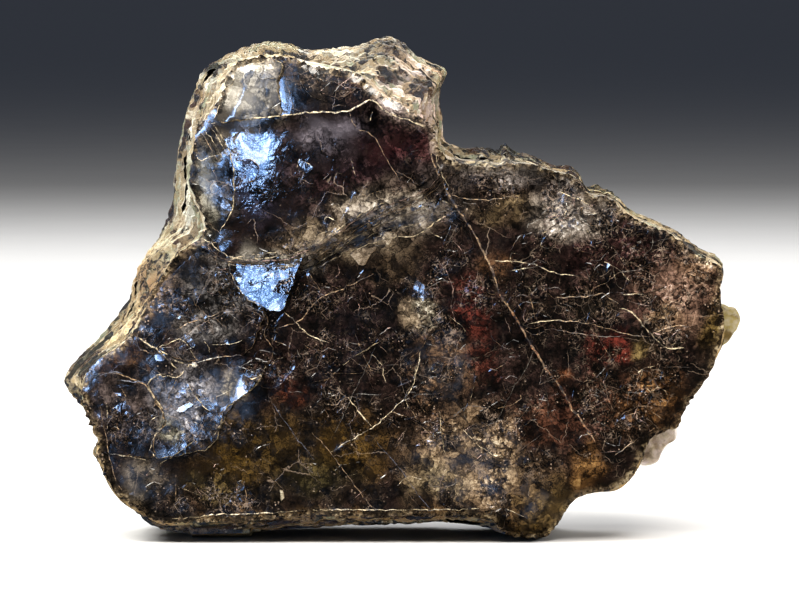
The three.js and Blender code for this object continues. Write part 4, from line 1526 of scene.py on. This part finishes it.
LENS = 180
SENSOR = 36
FRAME_UNITS = 799
FRAME_CENTRE = (399.5, 300)
CAMERA_ELEVATION = 4
FLOOR_FLAT = 15
FLOOR_REACH = 40
FLOOR_RISE = 2.5
FLOOR_SIDES = 48
FLOOR_RINGS = 9
FLOOR_CLEARANCE = 0.05 * MM
WORLD_COLOUR = (0.039, 0.0445, 0.0575, 1)
target = Vector((ORIGIN.x + (FRAME_CENTRE[0] - MIDDLE_X) * UNIT, ORIGIN.y, (BASE_Y - FRAME_CENTRE[1]) * UNIT))

# Each light's azimuth, elevation, distance in metres, size, power, colour, and whether it lights only gloss.
LIGHTS = {
    "blue_window": (-26, 6, 0.7, (0.13, 0.3), 2.3, (0.24, 0.48, 1.0), True),
    "window_core": (-25, 5, 0.69, (0.05, 0.14), 0.5, (0.78, 0.88, 1.0), True),
    "top_left": (-70, 52, 0.6, (0.35, 0.35), 6.5, (1.0, 0.98, 0.92), False),
    "top_front": (20, 60, 0.7, (0.5, 0.4), 7, (1.0, 0.95, 0.88), False),
    "right_side": (100, 30, 0.7, (0.35, 0.35), 2, (1.0, 0.96, 0.9), False),
    "back": (180, 45, 0.8, (0.5, 0.4), 4, (1.0, 1.0, 1.0), False),
}


def face_target(obj, azimuth, elevation, distance):
    """Makes something look at the target. Azimuth 0 is the viewer's side, and positive is to the right."""
    a, e = math.radians(azimuth), math.radians(elevation)
    way = Vector((math.sin(a) * math.cos(e), -math.cos(a) * math.cos(e), math.sin(e)))
    obj.location = target + distance * way
    obj.rotation_euler = (target - obj.location).to_track_quat("-Z", "Y").to_euler()


def add_camera():
    data = bpy.data.cameras.new("camera")
    data.lens = LENS
    data.sensor_width = SENSOR
    data.clip_start = 0.01
    camera = new_object("camera", data)
    face_target(camera, 0, CAMERA_ELEVATION, FRAME_UNITS * UNIT * LENS / SENSOR)
    bpy.context.scene.camera = camera


def add_light(name, azimuth, elevation, distance, size, power, colour, only_gloss):
    data = bpy.data.lights.new(name, "AREA")
    data.shape = "ELLIPSE"
    data.size, data.size_y = size
    data.energy = power
    data.color = colour
    light = new_object(name, data)
    light.visible_diffuse = not only_gloss
    face_target(light, azimuth, elevation, distance)


def floor_material():
    """Pale paper to the camera, and darker in reflections and bounced light, as a wide dark room makes it."""
    s = Shader("floor_paper")
    path = s.node("LightPath")
    pale = s.mix(s.noise(s.places(), 0.02, 2), (226, 226, 226), (219, 219, 220))
    dimmed = s.mix(path["Is Diffuse Ray"], (30, 28, 26), (172, 168, 160))
    shown = s.mix(path["Is Camera Ray"].most(path["Is Transmission Ray"]), dimmed, pale)
    return s.finish({"Base Color": shown, "Roughness": 1.0, "Specular IOR Level": 0.0})


def add_floor():
    """A pale floor, flat round the specimen and gently rising far away, which hides the horizon."""
    turns = np.linspace(0, 2 * math.pi, FLOOR_SIDES, endpoint=False)
    points, faces = [], [list(range(FLOOR_SIDES))]
    for ring in range(FLOOR_RINGS):
        run = ring / (FLOOR_RINGS - 1)
        radius = FLOOR_FLAT + (FLOOR_REACH - FLOOR_FLAT) * run
        points += [(radius * math.cos(t), radius * math.sin(t), FLOOR_RISE * run**2) for t in turns]
        for k in range(FLOOR_SIDES * (ring > 0)):
            after = (k + 1) % FLOOR_SIDES
            inner, outer = FLOOR_SIDES * (ring - 1), FLOOR_SIDES * ring
            faces.append([inner + k, outer + k, outer + after, inner + after])
    data = bpy.data.meshes.new("floor")
    data.from_pydata(points, [], faces)
    data.polygons.foreach_set("use_smooth", [True] * len(faces))
    data.materials.append(floor_material())
    floor = new_object("floor", data)
    floor.location.z = -FLOOR_CLEARANCE


def add_world():
    world = bpy.data.worlds.new("studio")
    world.use_nodes = True
    world.node_tree.nodes["Background"].inputs[0].default_value = WORLD_COLOUR
    bpy.context.scene.world = world


bpy.context.scene.view_settings.view_transform = "Standard"
add_camera()
add_floor()
add_world()
for light_name, facts in LIGHTS.items():
    add_light(light_name, *facts)
